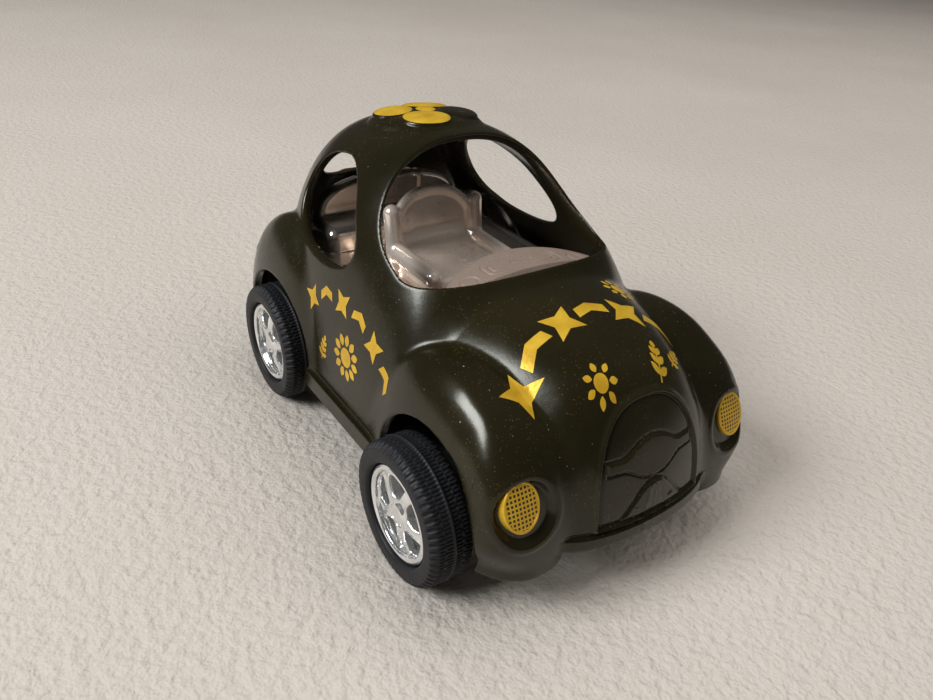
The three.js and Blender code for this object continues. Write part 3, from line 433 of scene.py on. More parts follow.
def main_island(points, quads):
    """The largest connected part of a mesh."""
    label = np.arange(len(points))
    while True:
        least = label[quads].min(1)
        joined = label.copy()
        np.minimum.at(joined, quads.ravel(), np.repeat(least, 4))
        joined = joined[joined]
        if (joined == label).all():
            break
        label = joined
    kept = label == np.bincount(label).argmax()
    number = np.cumsum(kept) - 1
    return points[kept], number[quads[kept[quads[:, 0]]]]


def solid_mesh(name, field, low, high, voxel, shade=None):
    """Mesh of the field's surface, pulled onto it and shaded with the field's own normals."""
    grid = openvdb.FloatGrid(1.0)
    values = np.clip(sample_sparse(field, low, high, voxel), -1, 1)
    grid.copyFromArray(values.astype(np.float32), tolerance=0)
    points, quads = grid.convertToQuads(isovalue=0.0)
    points, quads = main_island(points, np.asarray(quads, np.int64))
    points = np.array(low) + points * voxel
    for _ in range(2):
        g = gradient(field, points)
        length = np.maximum((g * g).sum(1), 0.05)
        move = (evaluate(field, points) / length)[:, None] * g
        points = points - np.clip(move, -0.6 * voxel, 0.6 * voxel)
    g = gradient(shade or field, points, 0.06)
    normals = g / np.maximum(np.linalg.norm(g, axis=1), 1e-6)[:, None]
    return new_mesh(name, points, quads, normals)


def new_mesh(name, points, faces, normals=None):
    """Object from points in millimetres in the car's own axes."""
    place = np.array(points, float) * MM
    place[:, 1] += AXLE_Y * MM
    mesh = bpy.data.meshes.new(name)
    mesh.from_pydata(place.tolist(), [], faces if isinstance(faces, list) else faces.tolist())
    mesh.polygons.foreach_set("use_smooth", [True] * len(mesh.polygons))
    mesh.update()
    if normals is not None:
        mesh.normals_split_custom_set_from_vertices(normals.tolist())
    piece = bpy.data.objects.new(name, mesh)
    bpy.context.collection.objects.link(piece)
    return piece


# ------------------------------------------------------------------ interior

DECK_Z = 24.77
TUB_HALF = 18.3
TUB_FRONT, TUB_REAR, TUB_FOOT = 9.6, 52.6, 8.0
ROOM_FRONT, ROOM_REAR, STEP_Y = 10.8, 51.4, 19.9
SKIN_GAP = 0.45
SEAT_HALF, SEAT_BACK_Y, SEAT_LEAN = 7.4, 35.4, 8
DASH = {"half_width": 14.2, "back": 9.8, "bulge": 7.4, "top": 33.3, "bottom": 25.1}
DIALS_Y = 13.0


def rounded_box(x, y, z, low, high, r):
    qx = np.maximum(low[0] - x, x - high[0]) + r
    qy = np.maximum(low[1] - y, y - high[1]) + r
    qz = np.maximum(low[2] - z, z - high[2]) + r
    outside = np.sqrt(np.maximum(qx, 0) ** 2 + np.maximum(qy, 0) ** 2 + np.maximum(qz, 0) ** 2)
    return outside + np.minimum(np.maximum.reduce([qx, qy, qz]), 0) - r


def capsule(x, y, z, a, b, r):
    a, b = np.array(a, float), np.array(b, float)
    d = b - a
    t = np.clip(((x - a[0]) * d[0] + (y - a[1]) * d[1] + (z - a[2]) * d[2]) / (d @ d), 0, 1)
    return np.sqrt((x - a[0] - t * d[0]) ** 2 + (y - a[1] - t * d[1]) ** 2 + (z - a[2] - t * d[2]) ** 2) - r


def seat(x, y, z):
    """Bucket seat: a hollowed arched back and a squab, with a round bolster down each side."""
    lean = math.radians(SEAT_LEAN)
    dy, dz = y - SEAT_BACK_Y, z - DECK_Z
    up = dz * math.cos(lean) + dy * math.sin(lean)
    back = dy * math.cos(lean) - dz * math.sin(lean)
    u = np.abs(x)
    arch = np.where(up > 5.5, superellipse(u, up - 5.5, SEAT_HALF, 5.9, 2.1), u - SEAT_HALF)
    hollow = back + 0.5 - 0.9 * np.exp(-(u / 6) ** 4)
    slab = smax(np.maximum(arch, -0.5 - up), np.abs(hollow) - 0.8, 0.8)
    piping = np.hypot(arch + 0.5, hollow + 0.5) - 0.75
    rest = smin(slab, np.maximum(piping, 1 - up), 0.4)
    bolster = capsule(u, back, up, (7.5, -1.5, 0.5), (7.6, -1.2, 8.4), 1.35)
    squab = rounded_box(x, y, z, (-SEAT_HALF, 22.2, DECK_Z - 2), (SEAT_HALF, 36, DECK_Z + 2.6), 1.6)
    dip = 0.6 * np.exp(-(x / 5) ** 4 - ((y - 28.5) / 5) ** 4)
    side = capsule(u, y, z, (7.4, 23.6, DECK_Z + 2.6), (7.5, 33.6, DECK_Z + 2.8), 1.35)
    return smin(smin(rest, squab + dip, 3.2), smin(bolster, side, 0.5), 0.5)


def bench(x, y, z):
    """Rear seat with an arched back and two seams down it."""
    squab = rounded_box(x, y, z, (-14.5, 42.6, DECK_Z - 1), (14.5, 51, DECK_Z + 3.8), 1.6)
    up = z - DECK_Z
    arch = np.where(up > 4, superellipse(x, up - 4, 13.4, 5.8, 2.3), np.abs(x) - 13.4)
    back = smax(np.maximum(arch, -up), np.abs(y - 50.2) - 1.4, 1.2)
    seam = 0.3 * ridge(np.abs(x) - 5.2, 0.4)
    return smin(squab, back, 1.4) + seam


def dashboard(x, y, z):
    """Shelf behind the firewall with a rounded front edge and a slightly crowned top."""
    d = DASH
    bulge = TUB_FRONT + d["bulge"] * np.sqrt(np.maximum(1 - (x / d["half_width"]) ** 2, 0))
    plan = np.maximum((y - bulge) * 0.8, np.abs(x) - d["half_width"])
    top = z - (d["top"] - 0.011 * x * x) + panel_marks(x, y)
    solid = smax(np.maximum(plan, d["back"] - y), smax(top, d["bottom"] - z, 0.3), 0.6)
    return np.maximum(solid, inner_skin(x, y, z) + SKIN_GAP)


def panel_marks(x, y):
    """Depth of the instrument panel engraved in the top: two rounded frames, dials and an oval."""
    outer = superellipse(x, y - DIALS_Y, 6.2, 2.0, 4)
    inner = superellipse(x, y - DIALS_Y, 5.3, 1.2, 4)
    frames = np.minimum(np.abs(outer), np.abs(inner))
    dials = np.abs(np.hypot(np.abs(x) - 9.2, y - 12.0) - 1.2)
    oval = np.abs(superellipse(x, y - DIALS_Y, 1.7, 0.6, 2))
    return 0.13 * ridge(np.minimum.reduce([frames, dials, oval]), 0.18)


def tub(x, y, z):
    """Interior tub: walls and firewall, hollowed above and below the deck, with the rear bench."""
    space = np.maximum(inner_skin(x, y, z) + SKIN_GAP, np.abs(x) - TUB_HALF)
    thinner = np.maximum(inner_skin(x, y, z) + 1.65, np.abs(x) - TUB_HALF + 1.2)
    walls = np.maximum.reduce([space, TUB_FRONT - y, y - TUB_REAR, TUB_FOOT - z, z - DECK_Z - 0.3])
    firewall = np.maximum.reduce([space, TUB_FRONT - y, y - ROOM_FRONT, TUB_FOOT - z, z - 32.4])
    arch = smax(np.hypot(y, z - AXLE_Z) - 18.5, 13.0 - np.abs(x), 0.5)
    shell = smax(np.minimum(walls, firewall), -arch, 0.5)
    footwell = np.maximum.reduce([thinner, ROOM_FRONT - y, y - STEP_Y, 16.2 - z])
    saloon = np.maximum.reduce([thinner, STEP_Y - y, y - ROOM_REAR, DECK_Z - z])
    below = np.maximum.reduce([thinner, ROOM_FRONT - y, y - 21.1, z - 15.0])
    bay = np.maximum.reduce([thinner, 21.1 - y, y - ROOM_REAR, z - 23.57])
    notch = np.hypot(y - WHEELBASE, z - AXLE_Z) - 4
    for room in (footwell, saloon, below, bay, notch):
        shell = smax(shell, -room, 0.5)
    fitted = np.maximum(bench(x, y, z), inner_skin(x, y, z) + SKIN_GAP)
    return smin(shell, fitted, 0.4)


# ------------------------------------------------------------------ wheels

RIM_RADIUS, SPOKES = 6.5, 5
TREAD_RIBS, TREAD_BLOCKS = 120, 60


def rim(x, y, z):
    """Wheel disc facing +X about the origin."""
    r = np.hypot(y, z)
    angle = np.arctan2(z, y) - math.pi / 2
    sector = (angle + math.pi / SPOKES) % (2 * math.pi / SPOKES) - math.pi / SPOKES
    radial, across = r * np.cos(sector), r * np.sin(sector)
    window = superellipse(radial - 3.85, across * 3.85 / np.maximum(radial, 1.0), 1.6, 1.72, 2.5)
    crown = 2.15 - 0.5 * smoothstep((r - 3.0) / 2.6) + 0.14 * ridge(window - 0.3, 0.22)
    crown = crown + 0.3 * smoothstep((1.7 - r) / 0.5) - 0.2 * ridge(r - 1.9, 0.2)
    plate = np.maximum(r - 5.9, np.maximum(x - crown, 0.7 - x))
    drum = np.maximum.reduce([r - RIM_RADIUS, 5.65 - r, np.abs(x) - 2.4])
    edge = np.hypot(r - 6.05, x - 2.3) - 0.32
    tube = np.maximum.reduce([r - 1.9, -2.5 - x, x - 1.3])
    liner = np.maximum.reduce([np.abs(window - 0.22) - 0.22, x - 1.2, -1.4 - x, r - 5.8])
    body = smin(smin(plate, drum, 0.3), np.minimum(edge, tube), 0.2)
    body = smax(smin(body, liner, 0.1), -np.maximum(window, -1.6 - x), 0.18)
    bore = np.maximum(r - 0.95, x - 1.6)
    return smax(body, -bore, 0.1)


def tyre_profile():
    """Distance from the axle and position along it, from the outer bead over the tread to the inner one."""
    half = [(6.8, 2.35), (6.82, 2.7), (7.05, 2.93), (7.5, 2.97), (8.2, 3.0), (8.75, 3.0), (8.95, 2.95)]
    shoulder = [(9.2, 2.72), (9.42, 2.45), (9.53, 2.2)]
    tread = [(9.58, w) for w in np.arange(2.0, 0.2, -0.15)]
    side = half + shoulder + tread + [(9.6, 0.14), (9.68, 0.06)]
    return side + [(r, -w) for r, w in reversed(side)]


def tyre_points(steps=960):
    """Fine ribs across the tread, a row of nubs in each lane, notched shoulders and a thin middle line."""
    profile = np.array(tyre_profile())
    angle = np.linspace(0, 2 * math.pi, steps, endpoint=False)
    r, a = np.meshgrid(profile[:, 0], angle)
    w = np.repeat(profile[None, :, 1], steps, 0)
    across = np.abs(w)
    groove = smoothstep(0.5 - 1.5 * np.cos(TREAD_RIBS * a))
    tread = step(across - 2.15, 0.2) * step(0.28 - across, 0.12)
    lane = ridge(across - 1.25, 0.22)
    nub = ridge(across - 1.25, 0.13) * smoothstep(0.5 + 1.6 * np.cos(TREAD_BLOCKS * a))
    r = r - (0.17 * groove * (1 - lane) + 0.16 * lane - 0.22 * nub) * tread
    notch = smoothstep(0.5 - 1.5 * np.cos(TREAD_BLOCKS * a + math.pi / 2))
    edge = smoothstep((across - 2.1) / 0.3) * smoothstep((r - 8.75) / 0.25)
    r = r - 0.2 * notch * edge
    w = w - np.sign(w) * 0.08 * notch * edge
    return np.stack([w, r * np.sin(a), r * np.cos(a)], -1)


def ring_mesh(name, points):
    """Closed skin round the X axis from a grid of points, angle by profile."""
    steps, count = points.shape[:2]
    faces = []
    for i in range(steps):
        j = (i + 1) % steps
        faces += [(i * count + k, i * count + k + 1, j * count + k + 1, j * count + k) for k in range(count - 1)]
        faces.append((i * count + count - 1, i * count, j * count, j * count + count - 1))
    return new_mesh(name, points.reshape(-1, 3), faces)


# ------------------------------------------------------------------ printed marks

def surface_point(u, v, along, sign):
    """Point of the body skin over (u, v), looked for from outside along x or z."""
    start, end = {"z": (60.0, 20.0), "x": (30.0, 12.0)}[along]
    far, near = np.full(u.shape, start), np.full(u.shape, end)
    place = {"z": lambda d: (u, v, d), "x": lambda d: (sign * d, u, v)}[along]
    for _ in range(26):
        half = (far + near) / 2
        inside = outer_skin(*place(half)) < 0
        near, far = np.where(inside, half, near), np.where(inside, far, half)
    return np.stack(place(far), -1)


def fill(outline, gap=0.7):
    """Triangles over a closed outline, fine enough to follow a curved surface."""
    outline = np.array(outline, float)
    closed = np.vstack([outline, outline[:1]])
    rim_points = []
    for a, b in zip(closed[:-1], closed[1:]):
        n = max(1, int(np.ceil(np.hypot(*(b - a)) / gap)))
        rim_points += [a + (b - a) * i / n for i in range(n)]
    low, high = outline.min(0), outline.max(0)
    inner = [
        Vector((px, py))
        for px in np.arange(low[0] + gap / 2, high[0], gap)
        for py in np.arange(low[1] + gap / 2, high[1], gap)
    ]
    points = [Vector(p) for p in rim_points] + inner
    count = len(rim_points)
    result = delaunay_2d_cdt(points, [], [list(range(count))], 1, 1e-5)
    return np.array([tuple(p) for p in result[0]]), [list(f) for f in result[2]]


def print_marks(name, outlines, along, sign=1, lift=0.035, gap=0.7):
    """One thin printed layer made of several outlines, laid on the body."""
    points, faces = [], []
    for outline in outlines:
        flat, triangles = fill(outline, gap)
        base = sum(len(p) for p in points)
        points.append(surface_point(flat[:, 0], flat[:, 1], along, sign))
        faces += [[base + i for i in (t[::-1] if along == "x" and sign < 0 else t)] for t in triangles]
    points = np.vstack(points)
    g = gradient(outer_skin, points, 0.08)
    normals = g / np.linalg.norm(g, axis=1)[:, None]
    return new_mesh(name, points + normals * lift, faces, normals)


def turned_outline(points, centre, angle, size=1.0):
    c, s = math.cos(angle) * size, math.sin(angle) * size
    return [(centre[0] + px * c - py * s, centre[1] + px * s + py * c) for px, py in points]


def star(points=4, outer=1.0, inner=0.42):
    return [
        ((outer if i % 2 == 0 else inner) * math.sin(math.pi * i / points),
         (outer if i % 2 == 0 else inner) * math.cos(math.pi * i / points))
        for i in range(2 * points)
    ]


def disc(radius=1.0, steps=28):
    turns = [2 * math.pi * i / steps for i in range(steps)]
    return [(radius * math.cos(a), radius * math.sin(a)) for a in turns]


def leaf(length=1.0, width=0.42, steps=10):
    side = [(width * math.sin(math.pi * i / steps) ** 0.8, length * i / steps) for i in range(steps + 1)]
    return side + [(-px, py) for px, py in reversed(side[1:-1])]


def bar_shape(w, h):
    return [(-w, -h), (w, -h), (w, h), (-w, h)]


def chevron(width=1.0, arm=0.45):
    low, tip, thick = -0.7, 0.15, arm * 1.6
    return [(-width, low), (0, tip), (width, low), (width, low + thick), (0, tip + thick), (-width, low + thick)]


def along_arc(centre, radius, start, end, count):
    """Places and headings of marks set out evenly on an arc, in degrees."""
    for i in range(count):
        a = math.radians(start + (end - start) * i / max(count - 1, 1))
        yield (centre[0] + radius * math.cos(a), centre[1] + radius * math.sin(a)), a - math.pi / 2


def sprig(base, heading, size):
    """Stem with paired leaves."""
    def on_stem(up):
        return base[0] - up * size * math.sin(heading), base[1] + up * size * math.cos(heading)

    shapes = [turned_outline(bar_shape(0.09, 1.5), on_stem(1.5), heading, size)]
    leaves = ((0.5, 0.9), (0.5, -0.9), (1.3, 0.75), (1.3, -0.75), (2.1, 0.6), (2.1, -0.6), (2.8, 0))
    for k, (up, tilt) in enumerate(leaves):
        shapes.append(turned_outline(leaf(1.25 - 0.12 * (k // 2), 0.3), on_stem(up), heading + tilt, size))
    return shapes


def rosette(centre, radius, petals=9):
    """Disc inside a ring of petals."""
    shapes = [turned_outline(disc(0.42), centre, 0, radius)]
    for k in range(petals):
        a = 2 * math.pi * k / petals
        start = (centre[0] - 0.5 * radius * math.sin(a), centre[1] + 0.5 * radius * math.cos(a))
        shapes.append(turned_outline(leaf(0.52, 0.17), start, a, radius))
    return shapes


def star_arc(places, star_shape, chevron_shape, first_star):
    """Stars and chevrons by turns along an arc, each star an eighth turn round."""
    marks = []
    for i, (at, heading) in enumerate(places):
        is_star = i % 2 == first_star
        shape = star_shape if is_star else chevron_shape
        marks.append(turned_outline(shape, at, heading + (math.pi / 4 if is_star else 0)))
    return marks


def bonnet_marks():
    """A bold arc of stars and chevrons over the bonnet, two rosettes and two leaf sprigs."""
    places = along_arc((-1.6, -19.0), 18.2, 130, 52, 6)
    marks = star_arc(places, star(4, 3.1, 1.35), chevron(2.3, 1.05), 0)
    marks += rosette((9.6, 3.4), 2.5)
    marks += rosette((-5.2, -9.6), 2.2, 7)
    marks += sprig((3.6, -11.5), -0.35, 1.25)
    marks += sprig((6.6, -10.2), -0.9, 0.9)
    return marks


# The left door's marks are the right door's turned end for end about half this y.
DOOR_MIRROR = 48.0


def door_marks(side):
    """The same family of marks on the door, drawn in Y and Z."""
    places = along_arc((25.0, 8.6), 17.0, 136, 56, 6)
    marks = star_arc(places, star(4, 2.3, 1.0), chevron(1.75, 0.8), 1)
    marks += rosette((23.0, 18.4), 3.5, 11)
    marks += sprig((30.6, 14.2), 0.25, 1.25)
    if side < 0:
        return marks
    return [[(DOOR_MIRROR - py, pz) for py, pz in mark][::-1] for mark in marks]


# ------------------------------------------------------------------ materials

def material(name):
    m = bpy.data.materials.new(name)
    m.use_nodes = True
    tree = m.node_tree
    shader = tree.nodes["Principled BSDF"]
    return m, tree, shader


def node(tree, kind, links=(), **values):
    """Adds a node, sets its inputs by name and its own properties, and links sockets into it."""
    n = tree.nodes.new(kind)
    for key, value in values.items():
        if key in n.inputs:
            n.inputs[key].default_value = value
        else:
            setattr(n, key, value)
    for key, socket in dict(links).items():
        tree.links.new(socket, n.inputs[key])
    return n


def place_of(tree):
    return node(tree, "ShaderNodeTexCoord").outputs["Object"]


def noise(tree, scale, detail=3.0, rough=0.55, source=None):
    links = {"Vector": source or place_of(tree)}
    return node(tree, "ShaderNodeTexNoise", links, Scale=scale, Detail=detail, Roughness=rough).outputs["Fac"]


def ramp(tree, source, low, high, to=(0.0, 1.0)):
    n = node(tree, "ShaderNodeMapRange", {"Value": source}, clamp=True)
    n.inputs["From Min"].default_value, n.inputs["From Max"].default_value = low, high
    n.inputs["To Min"].default_value, n.inputs["To Max"].default_value = to
    return n.outputs["Result"]


def mix(tree, fac, a, b):
    n = node(tree, "ShaderNodeMix", data_type="RGBA")
    tree.links.new(fac, n.inputs["Factor"])
    for socket, value in ((n.inputs[6], a), (n.inputs[7], b)):
        if isinstance(value, tuple):
            socket.default_value = (*value, 1)
        else:
            tree.links.new(value, socket)
    return n.outputs[2]


def math_node(tree, operation, a, b):
    n = node(tree, "ShaderNodeMath", operation=operation)
    for socket, value in zip(n.inputs, (a, b)):
        if isinstance(value, (int, float)):
            socket.default_value = value
        else:
            tree.links.new(value, socket)
    return n.outputs[0]


def specks(tree, scale, size, share):
    """1 on scattered specks: cells of a Voronoi pattern, only a share of which carry one."""
    v = node(tree, "ShaderNodeTexVoronoi", {"Vector": place_of(tree)}, Scale=scale)
    near = ramp(tree, v.outputs["Distance"], size, size * 0.55)
    chosen = node(tree, "ShaderNodeTexWhiteNoise", {"Vector": v.outputs["Position"]}, noise_dimensions="3D")
    keep = math_node(tree, "LESS_THAN", chosen.outputs["Value"], share)
    return math_node(tree, "MULTIPLY", near, keep)


def bump(tree, height, strength, distance, after=None):
    n = node(tree, "ShaderNodeBump", {"Height": height}, Strength=strength, Distance=distance)
    if after is not None:
        tree.links.new(after, n.inputs["Normal"])
    return n.outputs["Normal"]


def paint_material():
    m, tree, shader = material("olive_enamel")
    tone = noise(tree, 60, 4)
    base = mix(tree, ramp(tree, tone, 0.35, 0.7), (0.009, 0.0068, 0.0018), (0.017, 0.013, 0.004))
    flake = specks(tree, 3600, 0.34, 0.2)
    crowd = ramp(tree, noise(tree, 110, 3), 0.4, 0.68)
    base = mix(tree, math_node(tree, "MULTIPLY", flake, crowd), base, (0.11, 0.08, 0.022))
    dust = specks(tree, 900, 0.12, 0.06)
    lint = specks(tree, 2100, 0.16, 0.05)
    patches = ramp(tree, noise(tree, 75, 3), 0.42, 0.6)
    dust = math_node(tree, "MULTIPLY", math_node(tree, "MAXIMUM", dust, lint), patches)
    geometry = node(tree, "ShaderNodeNewGeometry")
    up = node(tree, "ShaderNodeSeparateXYZ", {"Vector": geometry.outputs["Normal"]}).outputs["Z"]
    dust = math_node(tree, "MULTIPLY", dust, ramp(tree, up, -0.2, 0.6, (0.15, 0.8)))
    base = mix(tree, dust, base, (0.33, 0.3, 0.25))
    edge = ramp(tree, geometry.outputs["Pointiness"], 0.56, 0.62)
    chips = math_node(tree, "MULTIPLY", edge, ramp(tree, noise(tree, 420, 5, 0.7), 0.58, 0.66))
    base = mix(tree, chips, base, (0.42, 0.39, 0.33))
    tree.links.new(base, shader.inputs["Base Color"])
    smudge = ramp(tree, noise(tree, 95, 5, 0.65), 0.3, 0.75, (0.18, 0.32))
    rough = math_node(tree, "MAXIMUM", smudge, math_node(tree, "MULTIPLY", dust, 0.8))
    tree.links.new(rough, shader.inputs["Roughness"])
    shader.inputs["Metallic"].default_value = 0.0
    shader.inputs["Specular IOR Level"].default_value = 0.45
    shader.inputs["Specular Tint"].default_value = (1.0, 0.98, 0.88, 1)
    soft = bump(tree, noise(tree, 170, 2), 0.12, 0.0006)
    fine = bump(tree, math_node(tree, "ADD", noise(tree, 1700, 3), dust), 0.08, 0.00012, soft)
    tree.links.new(fine, shader.inputs["Normal"])
    return m


def gold_material(name="gold_ink", lattice=False):
    m, tree, shader = material(name)
    tone = noise(tree, 300, 4)
    base = mix(tree, ramp(tree, tone, 0.3, 0.7), (0.6, 0.33, 0.016), (0.8, 0.5, 0.035))
    worn = ramp(tree, noise(tree, 1100, 6, 0.75), 0.66, 0.72)
    base = mix(tree, math_node(tree, "MULTIPLY", worn, 0.75), base, (0.05, 0.04, 0.015))
    if lattice:
        base = mix(tree, lattice_holes(tree), base, (0.035, 0.028, 0.012))
    tree.links.new(base, shader.inputs["Base Color"])
    tree.links.new(ramp(tree, tone, 0.3, 0.7, (0.3, 0.46)), shader.inputs["Roughness"])
    shader.inputs["Metallic"].default_value = 0.35
    tree.links.new(bump(tree, noise(tree, 1500, 4), 0.2, 0.0002), shader.inputs["Normal"])
    return m


def lattice_holes(tree, pitch=0.00052):
    """Dark holes of the square mesh over the lamp's gold, set out in X and Z."""
    parts = node(tree, "ShaderNodeSeparateXYZ", {"Vector": place_of(tree)})
    holes = []
    for axis in ("X", "Z"):
        wave = math_node(tree, "PINGPONG", parts.outputs[axis], pitch / 2)
        holes.append(ramp(tree, wave, pitch * 0.17, pitch * 0.25))
    return math_node(tree, "MULTIPLY", *holes)


def chrome_material(name, tint, rough, metal=1.0, speckle=0.08):
    """Bright plating; speckle is the share of the surface that carries dark pits."""
    m, tree, shader = material(name)
    haze = noise(tree, 180, 4, 0.6)
    base = mix(tree, ramp(tree, haze, 0.35, 0.75), tint, tuple(0.82 * c for c in tint))
    pits = specks(tree, 3200, 0.3, speckle)
    base = mix(tree, math_node(tree, "MULTIPLY", pits, 0.7), base, (0.16, 0.13, 0.12))
    tree.links.new(base, shader.inputs["Base Color"])
    tree.links.new(ramp(tree, haze, 0.3, 0.75, rough), shader.inputs["Roughness"])
    shader.inputs["Metallic"].default_value = metal
    tree.links.new(bump(tree, noise(tree, 260, 3), 0.1, 0.0004), shader.inputs["Normal"])
    return m


def rubber_material():
    m, tree, shader = material("tyre_rubber")
    tone = noise(tree, 240, 5, 0.65)
    base = mix(tree, ramp(tree, tone, 0.35, 0.75), (0.008, 0.008, 0.009), (0.018, 0.018, 0.02))
    dust = specks(tree, 900, 0.15, 0.07)
    base = mix(tree, math_node(tree, "MULTIPLY", dust, 0.6), base, (0.24, 0.23, 0.21))
    tree.links.new(base, shader.inputs["Base Color"])
    tree.links.new(ramp(tree, tone, 0.3, 0.75, (0.42, 0.62)), shader.inputs["Roughness"])
    shader.inputs["Specular IOR Level"].default_value = 0.28
    tree.links.new(bump(tree, noise(tree, 2200, 4), 0.25, 0.00012), shader.inputs["Normal"])
    return m


def plastic_material(name, low, high, rough):
    m, tree, shader = material(name)
    tone = noise(tree, 350, 4)
    tree.links.new(mix(tree, ramp(tree, tone, 0.3, 0.75), low, high), shader.inputs["Base Color"])
    tree.links.new(ramp(tree, tone, 0.3, 0.75, rough), shader.inputs["Roughness"])
    tree.links.new(bump(tree, noise(tree, 1800, 4), 0.2, 0.0001), shader.inputs["Normal"])
    return m


def steel_material(name, tint, rough):
    m, tree, shader = material(name)
    drawn = node(tree, "ShaderNodeMapping", {"Vector": place_of(tree)}, Scale=(1.0, 12.0, 12.0))
    grain = noise(tree, 500, 5, 0.7, drawn.outputs["Vector"])
    base = mix(tree, ramp(tree, grain, 0.3, 0.7), tint, tuple(0.7 * c for c in tint))
    tree.links.new(base, shader.inputs["Base Color"])
    tree.links.new(ramp(tree, grain, 0.3, 0.7, rough), shader.inputs["Roughness"])
    shader.inputs["Metallic"].default_value = 1.0
    tree.links.new(bump(tree, grain, 0.15, 0.00006), shader.inputs["Normal"])
    return m


def floor_material():
    m, tree, shader = material("embossed_board")
    tone = noise(tree, 9, 3)
    base = mix(tree, ramp(tree, tone, 0.3, 0.7), (0.53, 0.47, 0.405), (0.57, 0.51, 0.445))
    tree.links.new(base, shader.inputs["Base Color"])
    shader.inputs["Roughness"].default_value = 0.62
    fine = math_node(tree, "MULTIPLY", noise(tree, 1500, 2, 0.5), 0.3)
    grain = math_node(tree, "ADD", noise(tree, 620, 2, 0.5), fine)
    tree.links.new(bump(tree, grain, 0.8, 0.00075), shader.inputs["Normal"])
    return m


# ------------------------------------------------------------------ pieces

def finish_piece(piece, body, slot, surface, *nodes):
    piece.data.materials.clear()
    piece.data.materials.append(surface)
    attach(piece, body)
    if nodes:
        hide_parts(*nodes)


def lamp_patch(name, side, bands):
    """Flat oval piece of the lamp, given as bands of (share of its size, height off its plane)."""
    spokes = 64
    share, height = np.array(bands).T
    angle = np.linspace(0, 2 * math.pi, spokes, endpoint=False)
    u = LENS["half_width"] * (share[:, None] * np.cos(angle)).ravel()
    v = LENS["half_height"] * (share[:, None] * np.sin(angle)).ravel()
    w = np.repeat(height, spokes)
    turn = Matrix.Rotation(LAMP["turn"], 3, "Z") @ Matrix.Rotation(-LAMP["pitch"], 3, "X")
    places = np.stack([u, -w, v], -1) @ np.array(turn.transposed())
    places += (LENS["x"], LENS["y"], LENS["z"])
    places[:, 0] *= side
    faces = []
    for i in range(len(bands) - 1):
        a, b = i * spokes, (i + 1) * spokes
        ring = [(a + k, b + k, b + (k + 1) % spokes, a + (k + 1) % spokes) for k in range(spokes)]
        faces += ring if side > 0 else [f[::-1] for f in ring]
    if share[0] < 0.1:
        faces.append(tuple(range(spokes))[::side])
    return new_mesh(name, places, faces)


def medallion_gold():
    """Gold ink on three petals and the button of the roof medallion."""
    turns = np.linspace(0, 2 * math.pi, 40, endpoint=False)
    petal = [(PETAL_PLACE + 2.85 * se_cos(t, PETAL_POWER), 3.45 * se_sin(t, PETAL_POWER)) for t in turns]
    outlines = [disc(1.5, 32)] + [turned_outline(petal, (0, 0), a) for a in PETAL_TURNS[:3]]
    placed = [[(px, MEDALLION["y"] + py) for px, py in o] for o in outlines]
    return print_marks("medallion_gold", placed, "z", lift=0.05, gap=0.28)


def se_cos(t, n):
    c = math.cos(t)
    return math.copysign(abs(c) ** (2 / n), c)


def se_sin(t, n):
    s = math.sin(t)
    return math.copysign(abs(s) ** (2 / n), s)


def make_pieces():
    enamel, gold = paint_material(), gold_material()
    # The tub and seat are one chrome moulding, but their plating is not one colour: the tub's is tinted darker and
    # more metallic as painted shade deep in the cabin, and the seat's is tinted lighter as a painted lit copy.
    shaded_cabin_plating = chrome_material("shaded_cabin_plating", (0.78, 0.68, 0.6), (0.12, 0.28), 0.92)
    lit_seat_plating = chrome_material("lit_seat_plating", (1.0, 0.85, 0.73), (0.15, 0.34), 0.58)
    dash_plating = chrome_material("dash_plating", (0.46, 0.34, 0.27), (0.4, 0.56), 0.55, 0.5)
    lens_gold = gold_material("lamp_gold", True)
    for name, field, low, high, voxel in (
        ("enamel_nose", nose_end, (-26, -21, 5.5), (26, NOSE_SPLIT + 1, 36), END_VOXEL),
        ("enamel_body", main_body, (-26, NOSE_SPLIT - 1, 5.5), (26, TAIL_SPLIT + 1, 50), MIDDLE_VOXEL),
        ("enamel_tail", tail_end, (-26, TAIL_SPLIT - 1, 5.5), (26, 65, 42), END_VOXEL),
    ):
        shell = solid_mesh(name, field, low, high, voxel, body_shell)
        finish_piece(shell, "car", "paint", enamel, "body_shell")
    for name, surface, field, low, high, voxel in (
        ("plated_interior", shaded_cabin_plating, tub, (-19, 9, 7.5), (19, 53.2, 39), 0.4),
        ("plated_seat", lit_seat_plating, seat, (-10, 21, 22), (10, 40, 40), 0.25),
        ("plated_dashboard", dash_plating, dashboard, (-15, 9, 24.5), (15, 18, 35), 0.16),
    ):
        finish_piece(solid_mesh(name, field, low, high, voxel), "car", "plated", surface, "interior_tub")
    for side in (-1, 1):
        hand = "left" if side > 0 else "right"
        lens = lamp_patch("lamp_lens_" + hand, side, LENS_BANDS)
        lens_rim = lamp_patch("lamp_rim_" + hand, side, LENS_RIM_BANDS)
        finish_piece(lens, "car", "paint", lens_gold)
        finish_piece(lens_rim, "car", "paint", gold)
        finish_piece(print_marks("door_print_" + hand, door_marks(side), "x", side), "car", "paint", gold)
    finish_piece(print_marks("bonnet_print", bonnet_marks(), "z"), "car", "paint", gold)
    finish_piece(medallion_gold(), "car", "paint", gold)
    make_wheels()
    carried = {
        "black_plastic": plastic_material("chassis_plastic", (0.012, 0.012, 0.013), (0.02, 0.02, 0.021), (0.35, 0.5)),
        "nylon": plastic_material("gear_nylon", (0.62, 0.57, 0.46), (0.7, 0.66, 0.55), (0.38, 0.52)),
        "steel": steel_material("axle_steel", (0.55, 0.56, 0.58), (0.22, 0.38)),
        "spring_steel": steel_material("spring_strip", (0.2, 0.22, 0.26), (0.25, 0.4)),
    }
    for part in frame["record"]["subparts"]:
        surface = carried.get(part["material_slot"])
        if surface:
            dress_node(frame["nodes"][part["node"]], surface)


